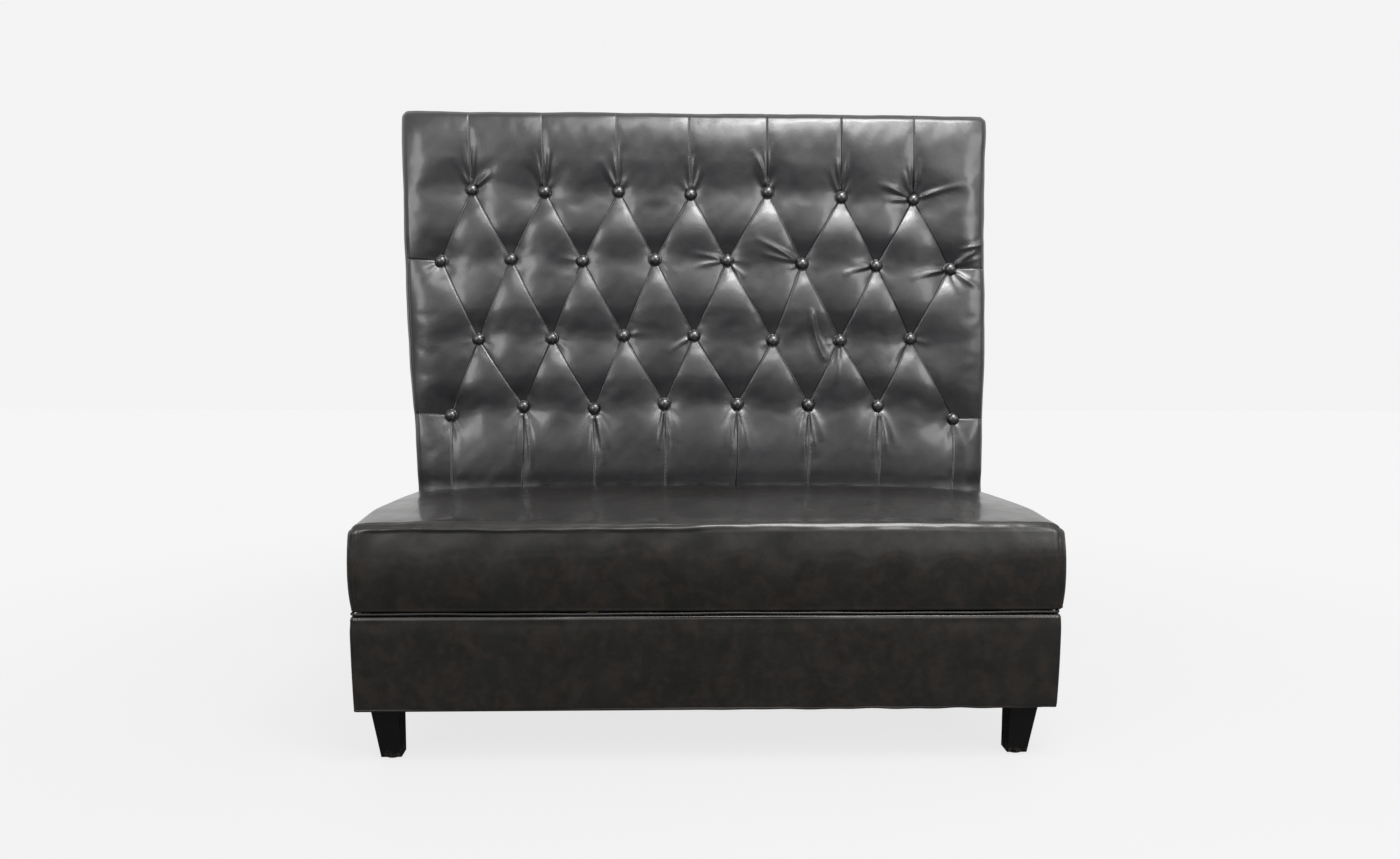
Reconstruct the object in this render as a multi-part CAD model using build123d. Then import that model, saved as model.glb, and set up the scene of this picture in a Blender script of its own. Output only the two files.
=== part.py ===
"""Restaurant booth bench: a deep-tufted high back over a boxed seat cushion, on an upholstered base.

The bench stands on the floor at z = 0. X runs across it, Y runs from the front (-) to the wall side (+),
Z is up, and the origin is the middle of the footprint. All sizes are in millimetres.

Timber and plywood carry everything: a base box on four corner blocks, two posts that lap into the rear of
that box and carry the back, and a separate sprung seat frame on packers. Foam and leather go on over them.
"""

from build123d import *
import os

# Overall sizes
overall_width = 1222.0
overall_height = 1206.0
seat_depth = 498.0
back_thickness = 152.0
seat_edge_height = 420.0

# Leather, seams and shared clearances
leather = 2.0
lining_gap = 0.3
fit_gap = 0.1
side_panel_border = 13.0
overrun = 40.0

# Timber frame
frame_build = 12.0
board = 18.0
base_rail_height = 163.0
base_bottom_draw = 3.0
base_edge_round = 4.0
base_corner_radius = 10.0
base_turn_in = 17.0
cross_rail_place_share = 0.3273
corner_block_size = 90.0
corner_block_height = 30.0
packer_height = 10.0

# Legs, glides and their fixings
leg_length = 96.0
leg_top_size = 50.0
leg_foot_size = 36.0
leg_inset = 13.0
leg_edge_radius = 2.0
glide_height = 4.0
glide_radius = 12.0
glide_pin_radius = 2.0
glide_pin_length = 14.0
hanger_radius = 4.0
hanger_bury = 35.0
hanger_stand = 6.0
tee_flange_radius = 10.0
tee_flange_thickness = 1.6
tee_barrel_radius = 5.5
tee_barrel_length = 11.0

# Back posts, boards and rails
post_width = 45.0
post_depth = 60.0
back_rail_height = 45.0
stud_place_share = 0.25
tuft_panel_thickness = 9.0
rear_panel_thickness = 4.0
rear_panel_gap = 1.2
top_padding = 15.0
post_bolt_radius = 4.0
post_bolt_head_radius = 9.0
post_bolt_head_height = 3.5
post_bolt_tail = 12.0
post_bolt_height_shares = (0.40, 0.80)
washer_radius = 10.0
washer_thickness = 1.6
nut_size = 13.0
nut_height = 6.5
panel_screw_radius = 2.0
panel_screw_length = 30.0
panel_screw_head_radius = 4.0
panel_screw_head_height = 1.5
panel_screw_height_shares = (0.05, 0.35, 0.65, 0.95)

# Tufted pad on the back
back_lean = 12.0
back_side_draw = 4.0
edge_radius = 14.0
top_radius = 16.0
top_corner_radius = 20.0
button_pitch_share = 0.12685
row_height_shares = (0.2163, 0.4008, 0.6056, 0.7901)
row_step_share = 0.1934
tuft_depth = 20.0
seam_width = 4.0
button_radius = 12.5
button_height = 9.0
button_rim = 3.0
button_gap = 0.5
pocket_extra_depth = 1.0
twine_radius = 1.2
twine_hole_gap = 0.4
twine_washer_radius = 9.0
twine_washer_thickness = 1.5
knot_radius = 3.0
knot_length = 4.0
knot_room = 0.5

# Places of the buttons, row by row from the bottom, as shares of the pitch across and of the row step up
row_1_across_shares = (-3.45, -2.46, -1.48, -0.50, 0.52, 1.52, 2.50, 3.53)
row_2_across_shares = (-3.05, -2.04, -1.05, -0.07, 1.03, 1.97, 2.96)
row_3_across_shares = (-3.49, -2.57, -1.59, -0.59, 0.41, 1.45, 2.48, 3.48)
row_4_across_shares = (-3.07, -2.08, -1.07, -0.08, 0.98, 2.00, 3.00)
row_1_lift_shares = (-0.15, -0.02, -0.05, 0.02, 0.02, 0.01, 0.00, -0.19)
row_2_lift_shares = (-0.03, -0.01, 0.03, 0.03, -0.03, -0.03, 0.00)
row_3_lift_shares = (0.00, 0.03, 0.01, 0.04, 0.03, -0.01, -0.03, -0.07)
row_4_lift_shares = (0.03, 0.01, 0.02, -0.01, 0.03, -0.03, -0.06)

# How the pad falls away from its fullest face, as shares of the tuft depth
between_rows_shares = (0.18, 0.50, 0.82)
seam_fall_shares = (0.60, 0.34, 0.60)
crest_fall_shares = (0.03, 0.13, 0.42)
end_seam_fall_shares = (0.52, 0.20, 0.14)
end_seam_place_shares = (0.17, 0.50)
edge_fall_shares = (0.10, 0.02)
edge_middle_shares = (0.30, 0.06)
top_turn_shares = (0.0, 0.5, 0.866, 1.0)

# Seat frame and suspension
seat_frame_setback = 3.0
seat_rail_width = 45.0
seat_rail_height = 40.0
welt_height = 6.0
welt_setback = 4.5
welt_flange_width = 12.0
welt_flange_thickness = 1.0
spring_wire_radius = 1.9
spring_width = 50.0
spring_pitch_share = 0.1146
spring_count = 8
spring_bars = 18
spring_rise = 22.0
spring_end_setback = 30.0
spring_bend_share = 0.45
clip_width = 22.0
clip_depth = 16.0
clip_plate = 1.5
clip_tail = 9.0
nail_radius = 1.2
nail_length = 18.0
nail_head_radius = 3.0
nail_head_height = 1.0
felt_thickness = 3.0
felt_border = 18.0
foam_bearing = 10.0
bracket_leg = 34.0
bracket_width = 20.0
bracket_plate = 2.0
bracket_screw_radius = 2.0
bracket_screw_length = 15.0
bracket_screw_head_radius = 4.0
bracket_screw_head_height = 2.2
bracket_hole_share = 0.62

# Cushion shape, with places across it and rises of its crown as shares
cushion_crown = 6.0
cushion_corner_radius = 14.0
cushion_roll_height = 12.0
cushion_roll_depth = 20.0
cushion_foot_draw = 5.0
cushion_turn_in = 24.0
waist_share = 0.25
crown_end_share = 0.35
crown_shares = ((0.86, 0.62), (0.66, 0.88), (0.36, 1.0))
quarter_turn_shares = ((1.0, 0.0), (0.866, 0.5), (0.5, 0.866), (0.0, 1.0))
round_middle_share = 0.293

# Cloth under the base
cloth_thickness = 1.0
cloth_border = 2.0
cloth_leg_gap = 0.5
staple_crown = 10.0
staple_wire = 0.9
staple_leg = 8.0
staple_edge = 5.0
staple_spacing_share = 0.1064
staple_count = 9
staple_side_spacing_share = 0.2154
staple_side_count = 4

# Places that several pieces share
overall_depth = seat_depth + back_thickness
half_width = overall_width / 2
front_face = -overall_depth / 2
rear_face = overall_depth / 2
frame_half = half_width - frame_build
frame_front = front_face + frame_build
frame_bottom = leg_length + glide_height
base_top = frame_bottom + base_rail_height
panel_rear = rear_face - leather
frame_rear = panel_rear - rear_panel_thickness
frame_front_y = frame_rear - post_depth
tuft_panel_front = frame_front_y - tuft_panel_thickness
back_face = front_face + seat_depth
back_height = overall_height - seat_edge_height
button_pitch = overall_width * button_pitch_share
row_heights = [seat_edge_height + back_height * share for share in row_height_shares]
row_step = back_height * row_step_share
spring_pitch = overall_width * spring_pitch_share
staple_spacing = overall_width * staple_spacing_share
staple_side_spacing = overall_depth * staple_side_spacing_share
inner_half = frame_half - board
back_frame_top = overall_height - leather - top_padding
cushion_bottom = base_top + leather + welt_height
seat_frame_bottom = cushion_bottom + leather
seat_frame_top = seat_frame_bottom + seat_rail_height
seat_half = frame_half - seat_frame_setback
seat_front = frame_front + seat_frame_setback
cushion_rear = back_face - lining_gap
seat_rear = cushion_rear - leather - seat_frame_setback
felt_bottom = seat_frame_top + clip_plate + fit_gap + spring_wire_radius * 2 + spring_rise + lining_gap
felt_top = felt_bottom + felt_thickness


def block(x0, x1, y0, y1, z0, z1):
    """A box from its six faces."""
    return Pos((x0 + x1) / 2, (y0 + y1) / 2, (z0 + z1) / 2) * Box(abs(x1 - x0), abs(y1 - y0), abs(z1 - z0))


def rod(start, end, radius):
    """A round bar from one point to another."""
    way = Vector(*end) - Vector(*start)
    return Solid.make_cylinder(radius, way.length, Plane(origin=start, z_dir=way))


def write(name, shape):
    """Writes a sub-part: one solid, or a group of separate ones."""
    pieces = shape if isinstance(shape, (list, tuple)) else [shape]
    solids = [solid for piece in pieces for solid in piece.solids()]
    body = solids[0] if len(solids) == 1 else Compound(children=solids)
    export_step(body, f"parts/{name}.step")


def rounded_level(z, x_half, y0, y1, radius):
    """One horizontal section of a padded box."""
    sketch = Pos(0, (y0 + y1) / 2, z) * RectangleRounded(x_half * 2, y1 - y0, radius)
    return sketch.face().outer_wire()


def padded_box(levels):
    """A ruled loft through horizontal sections, each (z, half width, front, rear, corner radius)."""
    return Solid.make_loft([rounded_level(*level) for level in levels], ruled=True)


# Legs

def leg(side, end):
    """A square leg with its two outer faces tapered. side and end are the signs of its corner."""
    shift = (leg_top_size - leg_foot_size) / 2
    top = Pos(0, 0, frame_bottom) * Rectangle(leg_top_size, leg_top_size)
    foot = Pos(-side * shift, -end * shift, glide_height) * Rectangle(leg_foot_size, leg_foot_size)
    body = Solid.make_loft([foot.face().outer_wire(), top.face().outer_wire()], ruled=True)
    upright = [edge for edge in body.edges() if edge.bounding_box().size.Z > leg_length / 2]
    body = fillet(upright, leg_edge_radius)
    bore_floor = frame_bottom - hanger_bury - fit_gap
    hanger_hole = rod((0, 0, bore_floor), (0, 0, frame_bottom + overrun), hanger_radius + fit_gap)
    pin_hole = rod(
        (-side * shift, -end * shift, glide_height - overrun),
        (-side * shift, -end * shift, glide_height + glide_pin_length + fit_gap),
        glide_pin_radius + fit_gap,
    )
    return body - hanger_hole - pin_hole


leg_x = frame_half - leg_inset - leg_top_size / 2
leg_front_y = frame_front + leg_inset + leg_top_size / 2
leg_rear_y = frame_rear - leg_inset - leg_top_size / 2
leg_places = {
    "front_left": (-1, -1, -leg_x, leg_front_y),
    "front_right": (1, -1, leg_x, leg_front_y),
    "rear_left": (-1, 1, -leg_x, leg_rear_y),
    "rear_right": (1, 1, leg_x, leg_rear_y),
}
foot_shift = (leg_top_size - leg_foot_size) / 2


def glide():
    """A plastic glide with its nail, driven up into the foot of a leg."""
    disc = rod((0, 0, 0), (0, 0, glide_height), glide_radius)
    pin = rod((0, 0, glide_height / 2), (0, 0, glide_height + glide_pin_length), glide_pin_radius)
    return disc + pin


def hanger_bolt():
    """The stud between a leg and the tee nut in its corner block."""
    top = frame_bottom + corner_block_height + tee_flange_thickness + hanger_stand
    return rod((0, 0, frame_bottom - hanger_bury), (0, 0, top), hanger_radius)


def tee_nut():
    """A tee nut let into the top of a corner block."""
    top = frame_bottom + corner_block_height
    flange = rod((0, 0, top), (0, 0, top + tee_flange_thickness), tee_flange_radius)
    barrel = rod((0, 0, top - tee_barrel_length), (0, 0, top + tee_flange_thickness / 2), tee_barrel_radius)
    bore = rod((0, 0, top - overrun), (0, 0, top + overrun), hanger_radius + fit_gap)
    return flange + barrel - bore


def corner_block(side, end):
    """A hardwood block in a corner of the base, bored for the leg's stud and tee nut."""
    x_out = side * inner_half
    y_out = frame_front + board if end < 0 else frame_rear - board
    body = block(
        x_out, x_out - side * corner_block_size, y_out, y_out - end * corner_block_size,
        frame_bottom, frame_bottom + corner_block_height,
    )
    top = frame_bottom + corner_block_height
    x, y = side * leg_x, leg_front_y if end < 0 else leg_rear_y
    stud_hole = rod((x, y, frame_bottom - overrun), (x, y, top + overrun), hanger_radius + fit_gap)
    barrel_floor = top - tee_barrel_length - fit_gap
    barrel_hole = rod((x, y, barrel_floor), (x, y, top + overrun), tee_barrel_radius + fit_gap)
    return body - stud_hole - barrel_hole


# Base box

def base_form(inset):
    """The padded outline of the base, taken in by inset on every side. It is cut at the rear later."""
    low = frame_bottom - leather + inset
    high = base_top + leather - inset
    draw = base_bottom_draw
    levels = [
        (low, draw + base_edge_round),
        (low + base_edge_round, draw),
        ((low + high) / 2, draw / 2),
        (high - base_edge_round, 0),
        (high - base_edge_round / 3, base_edge_round / 3),
        (high, base_edge_round),
    ]
    radius = base_corner_radius - inset
    return padded_box([
        (z, half_width - inset - taken, front_face + inset + taken, rear_face + overrun, radius)
        for z, taken in levels
    ])


def trim_rear(shape, low, high):
    """Cuts a base form off square at the rear panel."""
    keep = block(-half_width - overrun, half_width + overrun, front_face - overrun, panel_rear, low, high)
    return shape & keep


def base_padding():
    """Thin foam over the front and the two sides of the base rails."""
    foam = trim_rear(base_form(leather + lining_gap), frame_bottom, base_top)
    foam -= block(-half_width, half_width, frame_rear, rear_face + overrun, frame_bottom, base_top)
    low, high = frame_bottom - overrun, base_top + overrun
    timber = block(-frame_half, frame_half, frame_front, rear_face + overrun, low, high)
    heads = [
        rod((side * frame_half, y, z), (side * (frame_half + post_bolt_head_height + fit_gap), y, z),
            post_bolt_head_radius + fit_gap)
        for side, y, z in post_bolt_places
    ]
    return foam - timber - heads


def base_cover():
    """The leather band round the base, turned in over the top and bottom edges of the rails."""
    shell = trim_rear(base_form(0), frame_bottom - leather, base_top + leather)
    side, rear = half_width + overrun, rear_face + overrun
    shell -= block(-side, side, back_face, rear, base_top, base_top + overrun)
    hollow = trim_rear(base_form(leather), frame_bottom, base_top)
    hollow += block(
        -half_width + leather + base_bottom_draw + base_edge_round,
        half_width - leather - base_bottom_draw - base_edge_round,
        rear_face - board, rear_face + overrun, frame_bottom, base_top)
    opening = block(
        -half_width + base_turn_in, half_width - base_turn_in,
        front_face + base_turn_in, rear_face + overrun, frame_bottom - overrun, base_top + overrun,
    )
    return shell - hollow - opening


def base_welt():
    """The piping between cushion and base: a cord with a flat tail, along the front and both sides."""
    radius = welt_height / 2 - fit_gap
    x = half_width - welt_setback
    y = front_face + welt_setback
    middle = base_top + leather + welt_height / 2
    corner, rear = base_corner_radius, cushion_rear
    places = ((-x, rear, middle), (-x, y, middle), (x, y, middle), (x, rear, middle))
    path = FilletPolyline(*places, radius=corner)
    profile = Plane(origin=(-x, cushion_rear, middle), z_dir=(0, -1, 0)) * Circle(radius)
    cord = sweep(profile, path=path)
    low = base_top + leather + fit_gap
    outer = Pos(0, (y + rear_face) / 2, 0) * RectangleRounded(2 * x, rear_face - y, corner)
    inner = offset(outer, -welt_flange_width)
    tail = extrude(Pos(0, 0, low) * (outer - inner), welt_flange_thickness)
    tail -= block(-half_width, half_width, cushion_rear, rear_face + overrun, low - overrun, low + overrun)
    return cord + tail


cross_x = half_width * cross_rail_place_share
cross_rear = frame_rear - board


def cross_rail(side):
    """A board on edge from the front rail to the rear rail of the base."""
    x = side * cross_x
    return block(x - board / 2, x + board / 2, frame_front + board, cross_rear, frame_bottom, base_top)


def packer(side):
    """A strip on a cross rail that the seat frame rests on."""
    x = side * cross_x
    rear = cushion_rear - cushion_turn_in
    return block(x - board / 2, x + board / 2, frame_front + board, rear, base_top, seat_frame_bottom)


post_bolt_y = frame_front_y + (post_depth - board) / 2
post_bolt_heights = [frame_bottom + base_rail_height * share for share in post_bolt_height_shares]
post_bolt_places = [(side, post_bolt_y, z) for side in (-1, 1) for z in post_bolt_heights]


def post_bolt(side, y, z):
    """A round-headed bolt through a side rail of the base into a post."""
    face = side * frame_half
    end = side * (inner_half - post_width - post_bolt_tail)
    shank = rod((face, y, z), (end, y, z), post_bolt_radius)
    head = rod((face, y, z), (face + side * post_bolt_head_height, y, z), post_bolt_head_radius)
    return shank + head


def post_bolt_hole(side, y, z):
    """The bore that a post bolt passes through."""
    return rod((side * (frame_half + overrun), y, z), (side * (inner_half - post_width - overrun), y, z),
               post_bolt_radius + fit_gap)


def post_washer(side, y, z):
    """A washer on the inner face of a post."""
    face = side * (inner_half - post_width)
    disc = rod((face, y, z), (face - side * washer_thickness, y, z), washer_radius)
    return disc - post_bolt_hole(side, y, z)


def post_nut(side, y, z):
    """A hexagon nut on a post bolt."""
    start = side * (inner_half - post_width - washer_thickness)
    hexagon = RegularPolygon(nut_size / 2, 6, major_radius=False)
    seated = Plane(origin=(start, y, z), z_dir=(-side, 0, 0)) * hexagon
    return extrude(seated, nut_height) - post_bolt_hole(side, y, z)


def side_rail(side):
    """A side board of the base."""
    front = frame_front + board
    body = block(side * inner_half, side * frame_half, front, frame_rear, frame_bottom, base_top)
    return body - [post_bolt_hole(*place) for place in post_bolt_places if place[0] == side]


cloth_half = half_width - base_turn_in - cloth_border
cloth_front = front_face + base_turn_in + cloth_border
cloth_rear = frame_rear - cloth_border


def dust_cloth():
    """Black cloth that closes the underside, cut away round the legs."""
    low = frame_bottom - cloth_thickness
    body = block(-cloth_half, cloth_half, cloth_front, cloth_rear, low, frame_bottom)
    reach = leg_top_size / 2 + cloth_leg_gap
    legs = [block(x - reach, x + reach, y - reach, y + reach, frame_bottom - overrun, frame_bottom + overrun)
            for _, _, x, y in leg_places.values()]
    return body - legs - staple_holes


def staple_sites():
    """The staples round the edge of the dust cloth, as (x, y, direction of the crown)."""
    across = [staple_spacing * (i - (staple_count - 1) / 2) for i in range(staple_count)]
    deep = [staple_side_spacing * (i - (staple_side_count - 1) / 2) for i in range(staple_side_count)]
    sites = [(x, y, "x") for x in across for y in (cloth_front + staple_edge, cloth_rear - staple_edge)]
    return sites + [(side * (cloth_half - staple_edge), y, "y") for side in (-1, 1) for y in deep]


def staple_legs(x, y, way, gap):
    """The two square legs of a staple, or with a gap the holes that they make."""
    top = frame_bottom - cloth_thickness
    half = staple_wire / 2 + gap
    reach = (staple_crown - staple_wire) / 2
    places = [(x + turn * reach, y) if way == "x" else (x, y + turn * reach) for turn in (-1, 1)]
    return [block(px - half, px + half, py - half, py + half, top - staple_wire, top + staple_leg + gap)
            for px, py in places]


def staple(x, y, way):
    """A wire staple through the dust cloth into the frame. way is the direction of its crown."""
    top = frame_bottom - cloth_thickness
    dx, dy = (staple_crown / 2, staple_wire / 2) if way == "x" else (staple_wire / 2, staple_crown / 2)
    return block(x - dx, x + dx, y - dy, y + dy, top - staple_wire, top) + staple_legs(x, y, way, 0)


staple_holes = [hole for site in staple_sites() for hole in staple_legs(*site, fit_gap)]


# Seat frame and suspension

def bracket_sites():
    """Each bracket's cross rail, by its sign, and the y of the bracket's front edge."""
    front = frame_front + board
    rear = seat_rear - seat_rail_width
    return [(side, y) for side in (-1, 1) for y in (front + fit_gap, rear + fit_gap)]


def bracket_edges(side):
    """The cross rail's outer side face, and the direction away from it."""
    return side * (cross_x + board / 2), side


def seat_bracket(side, y):
    """A steel angle from a cross rail to the underside of the seat frame."""
    face, out = bracket_edges(side)
    top, far = seat_frame_bottom, y + bracket_width
    hang = block(face, face + out * bracket_plate, y, far, top - bracket_leg, top)
    shelf = block(face, face + out * bracket_leg, y, far, top - bracket_plate, top)
    return hang + shelf - bracket_screw_holes(side, y)


def bracket_screw_lines(side, y):
    """Start under the head and direction of a bracket's two screws."""
    face, out = bracket_edges(side)
    reach = bracket_leg * bracket_hole_share
    middle = y + bracket_width / 2
    into_seat = ((face + out * reach, middle, seat_frame_bottom - bracket_plate), (0, 0, 1))
    into_rail = ((face + out * bracket_plate, middle, seat_frame_bottom - reach), (-out, 0, 0))
    return [into_seat, into_rail]


def along(start, way, distance):
    """The point at a distance from start in the direction way."""
    return tuple(a + b * distance for a, b in zip(start, way))


def bracket_screw_holes(side, y):
    """Bores for a bracket's screws."""
    radius, depth = bracket_screw_radius + fit_gap, bracket_screw_length + fit_gap
    return [rod(along(start, way, -bracket_plate), along(start, way, depth), radius)
            for start, way in bracket_screw_lines(side, y)]


def bracket_screws(side, y):
    """A bracket's two pan-headed screws."""
    screws = []
    for start, way in bracket_screw_lines(side, y):
        shank = rod(start, along(start, way, bracket_screw_length), bracket_screw_radius)
        head = rod(along(start, way, -bracket_screw_head_height), start, bracket_screw_head_radius)
        screws.append(shank + head)
    return screws


spring_places = [spring_pitch * (i - (spring_count - 1) / 2) for i in range(spring_count)]
spring_seat = seat_frame_top + clip_plate + fit_gap + spring_wire_radius
spring_front = seat_front + spring_end_setback
spring_rear = seat_rear - spring_end_setback


def spring():
    """A zigzag spring, arched from the front rail to the rear rail."""
    step = (spring_rear - spring_front) / (spring_bars - 1)
    points = []
    for bar in range(spring_bars):
        y = spring_front + bar * step
        away = 2 * bar / (spring_bars - 1) - 1
        z = spring_seat + spring_rise * (1 - away * away)
        turn = 1 if bar % 2 else -1
        points += [(-turn * spring_width / 2, y, z), (turn * spring_width / 2, y, z)]
    path = FilletPolyline(*points, radius=step * spring_bend_share)
    profile = Plane(origin=path @ 0, z_dir=path % 0) * Circle(spring_wire_radius)
    return sweep(profile, path=path)


def clip_frame(end):
    """The bar's place under a clip, and the direction from it to the outer edge of the rail."""
    return (spring_front, -1) if end < 0 else (spring_rear, 1)


def spring_clip(x, end):
    """A folded steel clip that holds the end bar of a spring to a rail."""
    y, out = clip_frame(end)
    half = clip_width / 2
    inner = y - out * clip_depth / 2
    outer = y + out * clip_depth / 2
    slot_height = 2 * (spring_wire_radius + fit_gap)
    top = seat_frame_top + 2 * clip_plate + slot_height
    body = block(x - half, x + half, inner, outer, seat_frame_top, top)
    slot = block(x - half - overrun, x + half + overrun, inner - out * overrun, outer - out * clip_plate,
                 seat_frame_top + clip_plate, top - clip_plate)
    low = seat_frame_top
    tail = block(x - half, x + half, outer, outer + out * clip_tail, low, low + clip_plate)
    return body - slot + tail - nail_hole(x, end)


def nail_line(x, end):
    """Top of the clip's tail at the middle of its nail."""
    y, out = clip_frame(end)
    return (x, y + out * (clip_depth + clip_tail) / 2, seat_frame_top + clip_plate)


def nail_hole(x, end):
    """The bore for a clip's nail."""
    x, y, z = nail_line(x, end)
    return rod((x, y, z + overrun), (x, y, z - nail_length - fit_gap), nail_radius + fit_gap)


def clip_nail(x, end):
    """The nail through a clip's tail."""
    x, y, z = nail_line(x, end)
    shank = rod((x, y, z), (x, y, z - nail_length), nail_radius)
    return shank + rod((x, y, z), (x, y, z + nail_head_height), nail_head_radius)


def seat_rail(end):
    """The front or rear rail of the seat frame, bored for clip nails and bracket screws."""
    y_out = seat_front if end < 0 else seat_rear
    y_in = y_out - end * seat_rail_width
    body = block(-seat_half, seat_half, y_out, y_in, seat_frame_bottom, seat_frame_top)
    holes = [nail_hole(x, end) for x in spring_places]
    for side, y in bracket_sites():
        if (y < 0) == (end < 0):
            holes.append(bracket_screw_holes(side, y)[0])
    return body - holes


def seat_side_rail(side):
    """A side rail of the seat frame, between the front and rear rails."""
    return block(side * seat_half, side * (seat_half - seat_rail_width), seat_front + seat_rail_width,
                 seat_rear - seat_rail_width, seat_frame_bottom, seat_frame_top)


def felt():
    """The felt between the springs and the foam."""
    half = seat_half - felt_border
    return block(-half, half, seat_front + felt_border, seat_rear - felt_border, felt_bottom, felt_top)


def bend(start, middle, end):
    """An arc through three points, or a line where they are as good as straight."""
    chord = Vector(*end) - Vector(*start)
    off = (Vector(*middle) - Vector(*start)).cross(chord).length / chord.length
    return (ThreePointArc(start, middle, end) if off > fit_gap else Line(start, end)).edge()


def cushion_section(x, crown, drawn, inset):
    """The cushion's outline in a plane across X. drawn is how far it has turned in at a side, as a share."""
    front = front_face + inset + cushion_corner_radius * drawn
    rear = cushion_rear - inset - cushion_corner_radius * drawn
    low = cushion_bottom + inset
    high = seat_edge_height - inset - cushion_roll_height * drawn
    shoulder = high - cushion_roll_height
    waist = (low + shoulder) / 2
    foot = front + cushion_foot_draw
    corner = round_middle_share
    front_roll = (x, front + cushion_roll_depth * corner, high - cushion_roll_height * corner)
    rear_roll = (x, rear - cushion_roll_depth * corner, high - cushion_roll_height * corner)
    return Wire([
        bend((x, rear, low), (x, (foot + rear) / 2, low), (x, foot, low)),
        bend((x, foot, low), (x, front + cushion_foot_draw * waist_share, waist), (x, front, shoulder)),
        bend((x, front, shoulder), front_roll, (x, front + cushion_roll_depth, high)),
        bend((x, front + cushion_roll_depth, high), (x, (front + rear) / 2, high + crown),
             (x, rear - cushion_roll_depth, high)),
        bend((x, rear - cushion_roll_depth, high), rear_roll, (x, rear, shoulder)),
        bend((x, rear, shoulder), (x, rear, waist), (x, rear, low)),
    ])


def cushion_form(inset):
    """The crowned, rolled-edged shape of the seat cushion, taken in by inset on every side."""
    half = half_width - inset
    end_crown = cushion_crown * crown_end_share
    right = [(half - cushion_corner_radius * (1 - out), end_crown, 1 - back)
             for out, back in quarter_turn_shares]
    right += [(half * place, cushion_crown * rise, 0.0) for place, rise in crown_shares]
    left = [(-x, crown, drawn) for x, crown, drawn in right]
    return Solid.make_loft([cushion_section(*place, inset) for place in left + right[::-1]], ruled=True)


def cushion_foam():
    """The foam of the seat: a block over the springs with a thin skirt round the seat frame."""
    below = seat_frame_bottom - overrun
    foam = cushion_form(leather + lining_gap)
    foam -= block(-seat_half, seat_half, seat_front, seat_rear, below, seat_frame_top)
    foam -= block(-seat_half + foam_bearing, seat_half - foam_bearing, seat_front + foam_bearing,
                  seat_rear - foam_bearing, below, felt_top)
    return foam


def cushion_leather():
    """The leather of the cushion, open under the seat frame."""
    turn = cushion_turn_in
    opening = block(-half_width + turn, half_width - turn, front_face + turn, cushion_rear - turn,
                    cushion_bottom - overrun, seat_frame_bottom + overrun)
    return cushion_form(0) - cushion_form(leather) - opening


# Tufted back

def lean_at(z):
    """How far the face of the back has leaned towards the wall at a height."""
    return back_lean * max(0.0, z - seat_edge_height) / back_height


def half_width_at(z):
    """Half the width of the back at a height."""
    share = (z - base_top) / (overall_height - base_top)
    return half_width - back_side_draw * (1 - share)


button_rows = [
    [(across * button_pitch, height + lift * row_step) for across, lift in zip(across_shares, lift_shares)]
    for height, across_shares, lift_shares in zip(
        row_heights,
        (row_1_across_shares, row_2_across_shares, row_3_across_shares, row_4_across_shares),
        (row_1_lift_shares, row_2_lift_shares, row_3_lift_shares, row_4_lift_shares),
    )
]
buttons = [place for row in button_rows for place in row]
wide_row_count = len(row_1_across_shares)


def seams_at_row(row):
    """The seams that meet a row of buttons: two at each button, but one at each end of a long row."""
    points = []
    for index, (x, z) in enumerate(row):
        if len(row) == wide_row_count and index in (0, len(row) - 1):
            points.append((x, z))
        else:
            points += [(x - seam_width / 2, z), (x + seam_width / 2, z)]
    return points


def gaps_at_row(row):
    """Which stretches between neighbouring seams are pillows at a row, and which lie behind a button."""
    first = len(row) == wide_row_count
    count = 2 * (wide_row_count - 1) - 1
    return [(index % 2 == 0) == first for index in range(count)]


def pad_sections():
    """Each horizontal cut of the pad: nominal height, seams as (x, z, fall), crest falls, edge falls."""
    sections = []
    bottom, top = button_rows[0], button_rows[-1]

    def upright(z, row, fall):
        wide = gaps_at_row(row)
        seams = [(x, z, fall) for x, _ in seams_at_row(row)]
        sections.append((z, seams, [0.0 if w else fall for w in wide], 0.0, edge_fall_shares[1]))

    near, far, end = end_seam_fall_shares
    upright(base_top + lining_gap, bottom, end)
    upright(seat_edge_height + cushion_crown, bottom, end)
    for place, fall in zip(reversed(end_seam_place_shares), (far, near)):
        upright(row_heights[0] - place * row_step, bottom, fall)
    for index, row in enumerate(button_rows):
        long_row = len(row) == wide_row_count
        seams = [(x, z, 1.0) for x, z in seams_at_row(row)]
        crests = [0.0 if w else 1.0 for w in gaps_at_row(row)]
        edge = edge_fall_shares[0] if long_row else edge_fall_shares[1]
        middle = edge_middle_shares[0] if long_row else edge_middle_shares[1]
        sections.append((row_heights[index], seams, crests, edge, middle))
        if index + 1 == len(button_rows):
            break
        upper = button_rows[index + 1]
        lower_seams, upper_seams = seams_at_row(row), seams_at_row(upper)
        for step, (share, seam_fall) in enumerate(zip(between_rows_shares, seam_fall_shares)):
            z = row_heights[index] * (1 - share) + row_heights[index + 1] * share
            seams = [(a[0] * (1 - share) + b[0] * share, a[1] * (1 - share) + b[1] * share, seam_fall)
                     for a, b in zip(lower_seams, upper_seams)]
            rising = crest_fall_shares[step]
            falling = crest_fall_shares[len(crest_fall_shares) - 1 - step]
            crests = [rising if w else falling for w in gaps_at_row(row)]
            sections.append((z, seams, crests, 0.0, edge_middle_shares[1]))
    for place, fall in zip(end_seam_place_shares, (near, far)):
        upright(row_heights[-1] + place * row_step, top, fall)
    for turned in top_turn_shares:
        upright(overall_height - top_radius * (1 - turned), top, end)
    return sections



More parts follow.
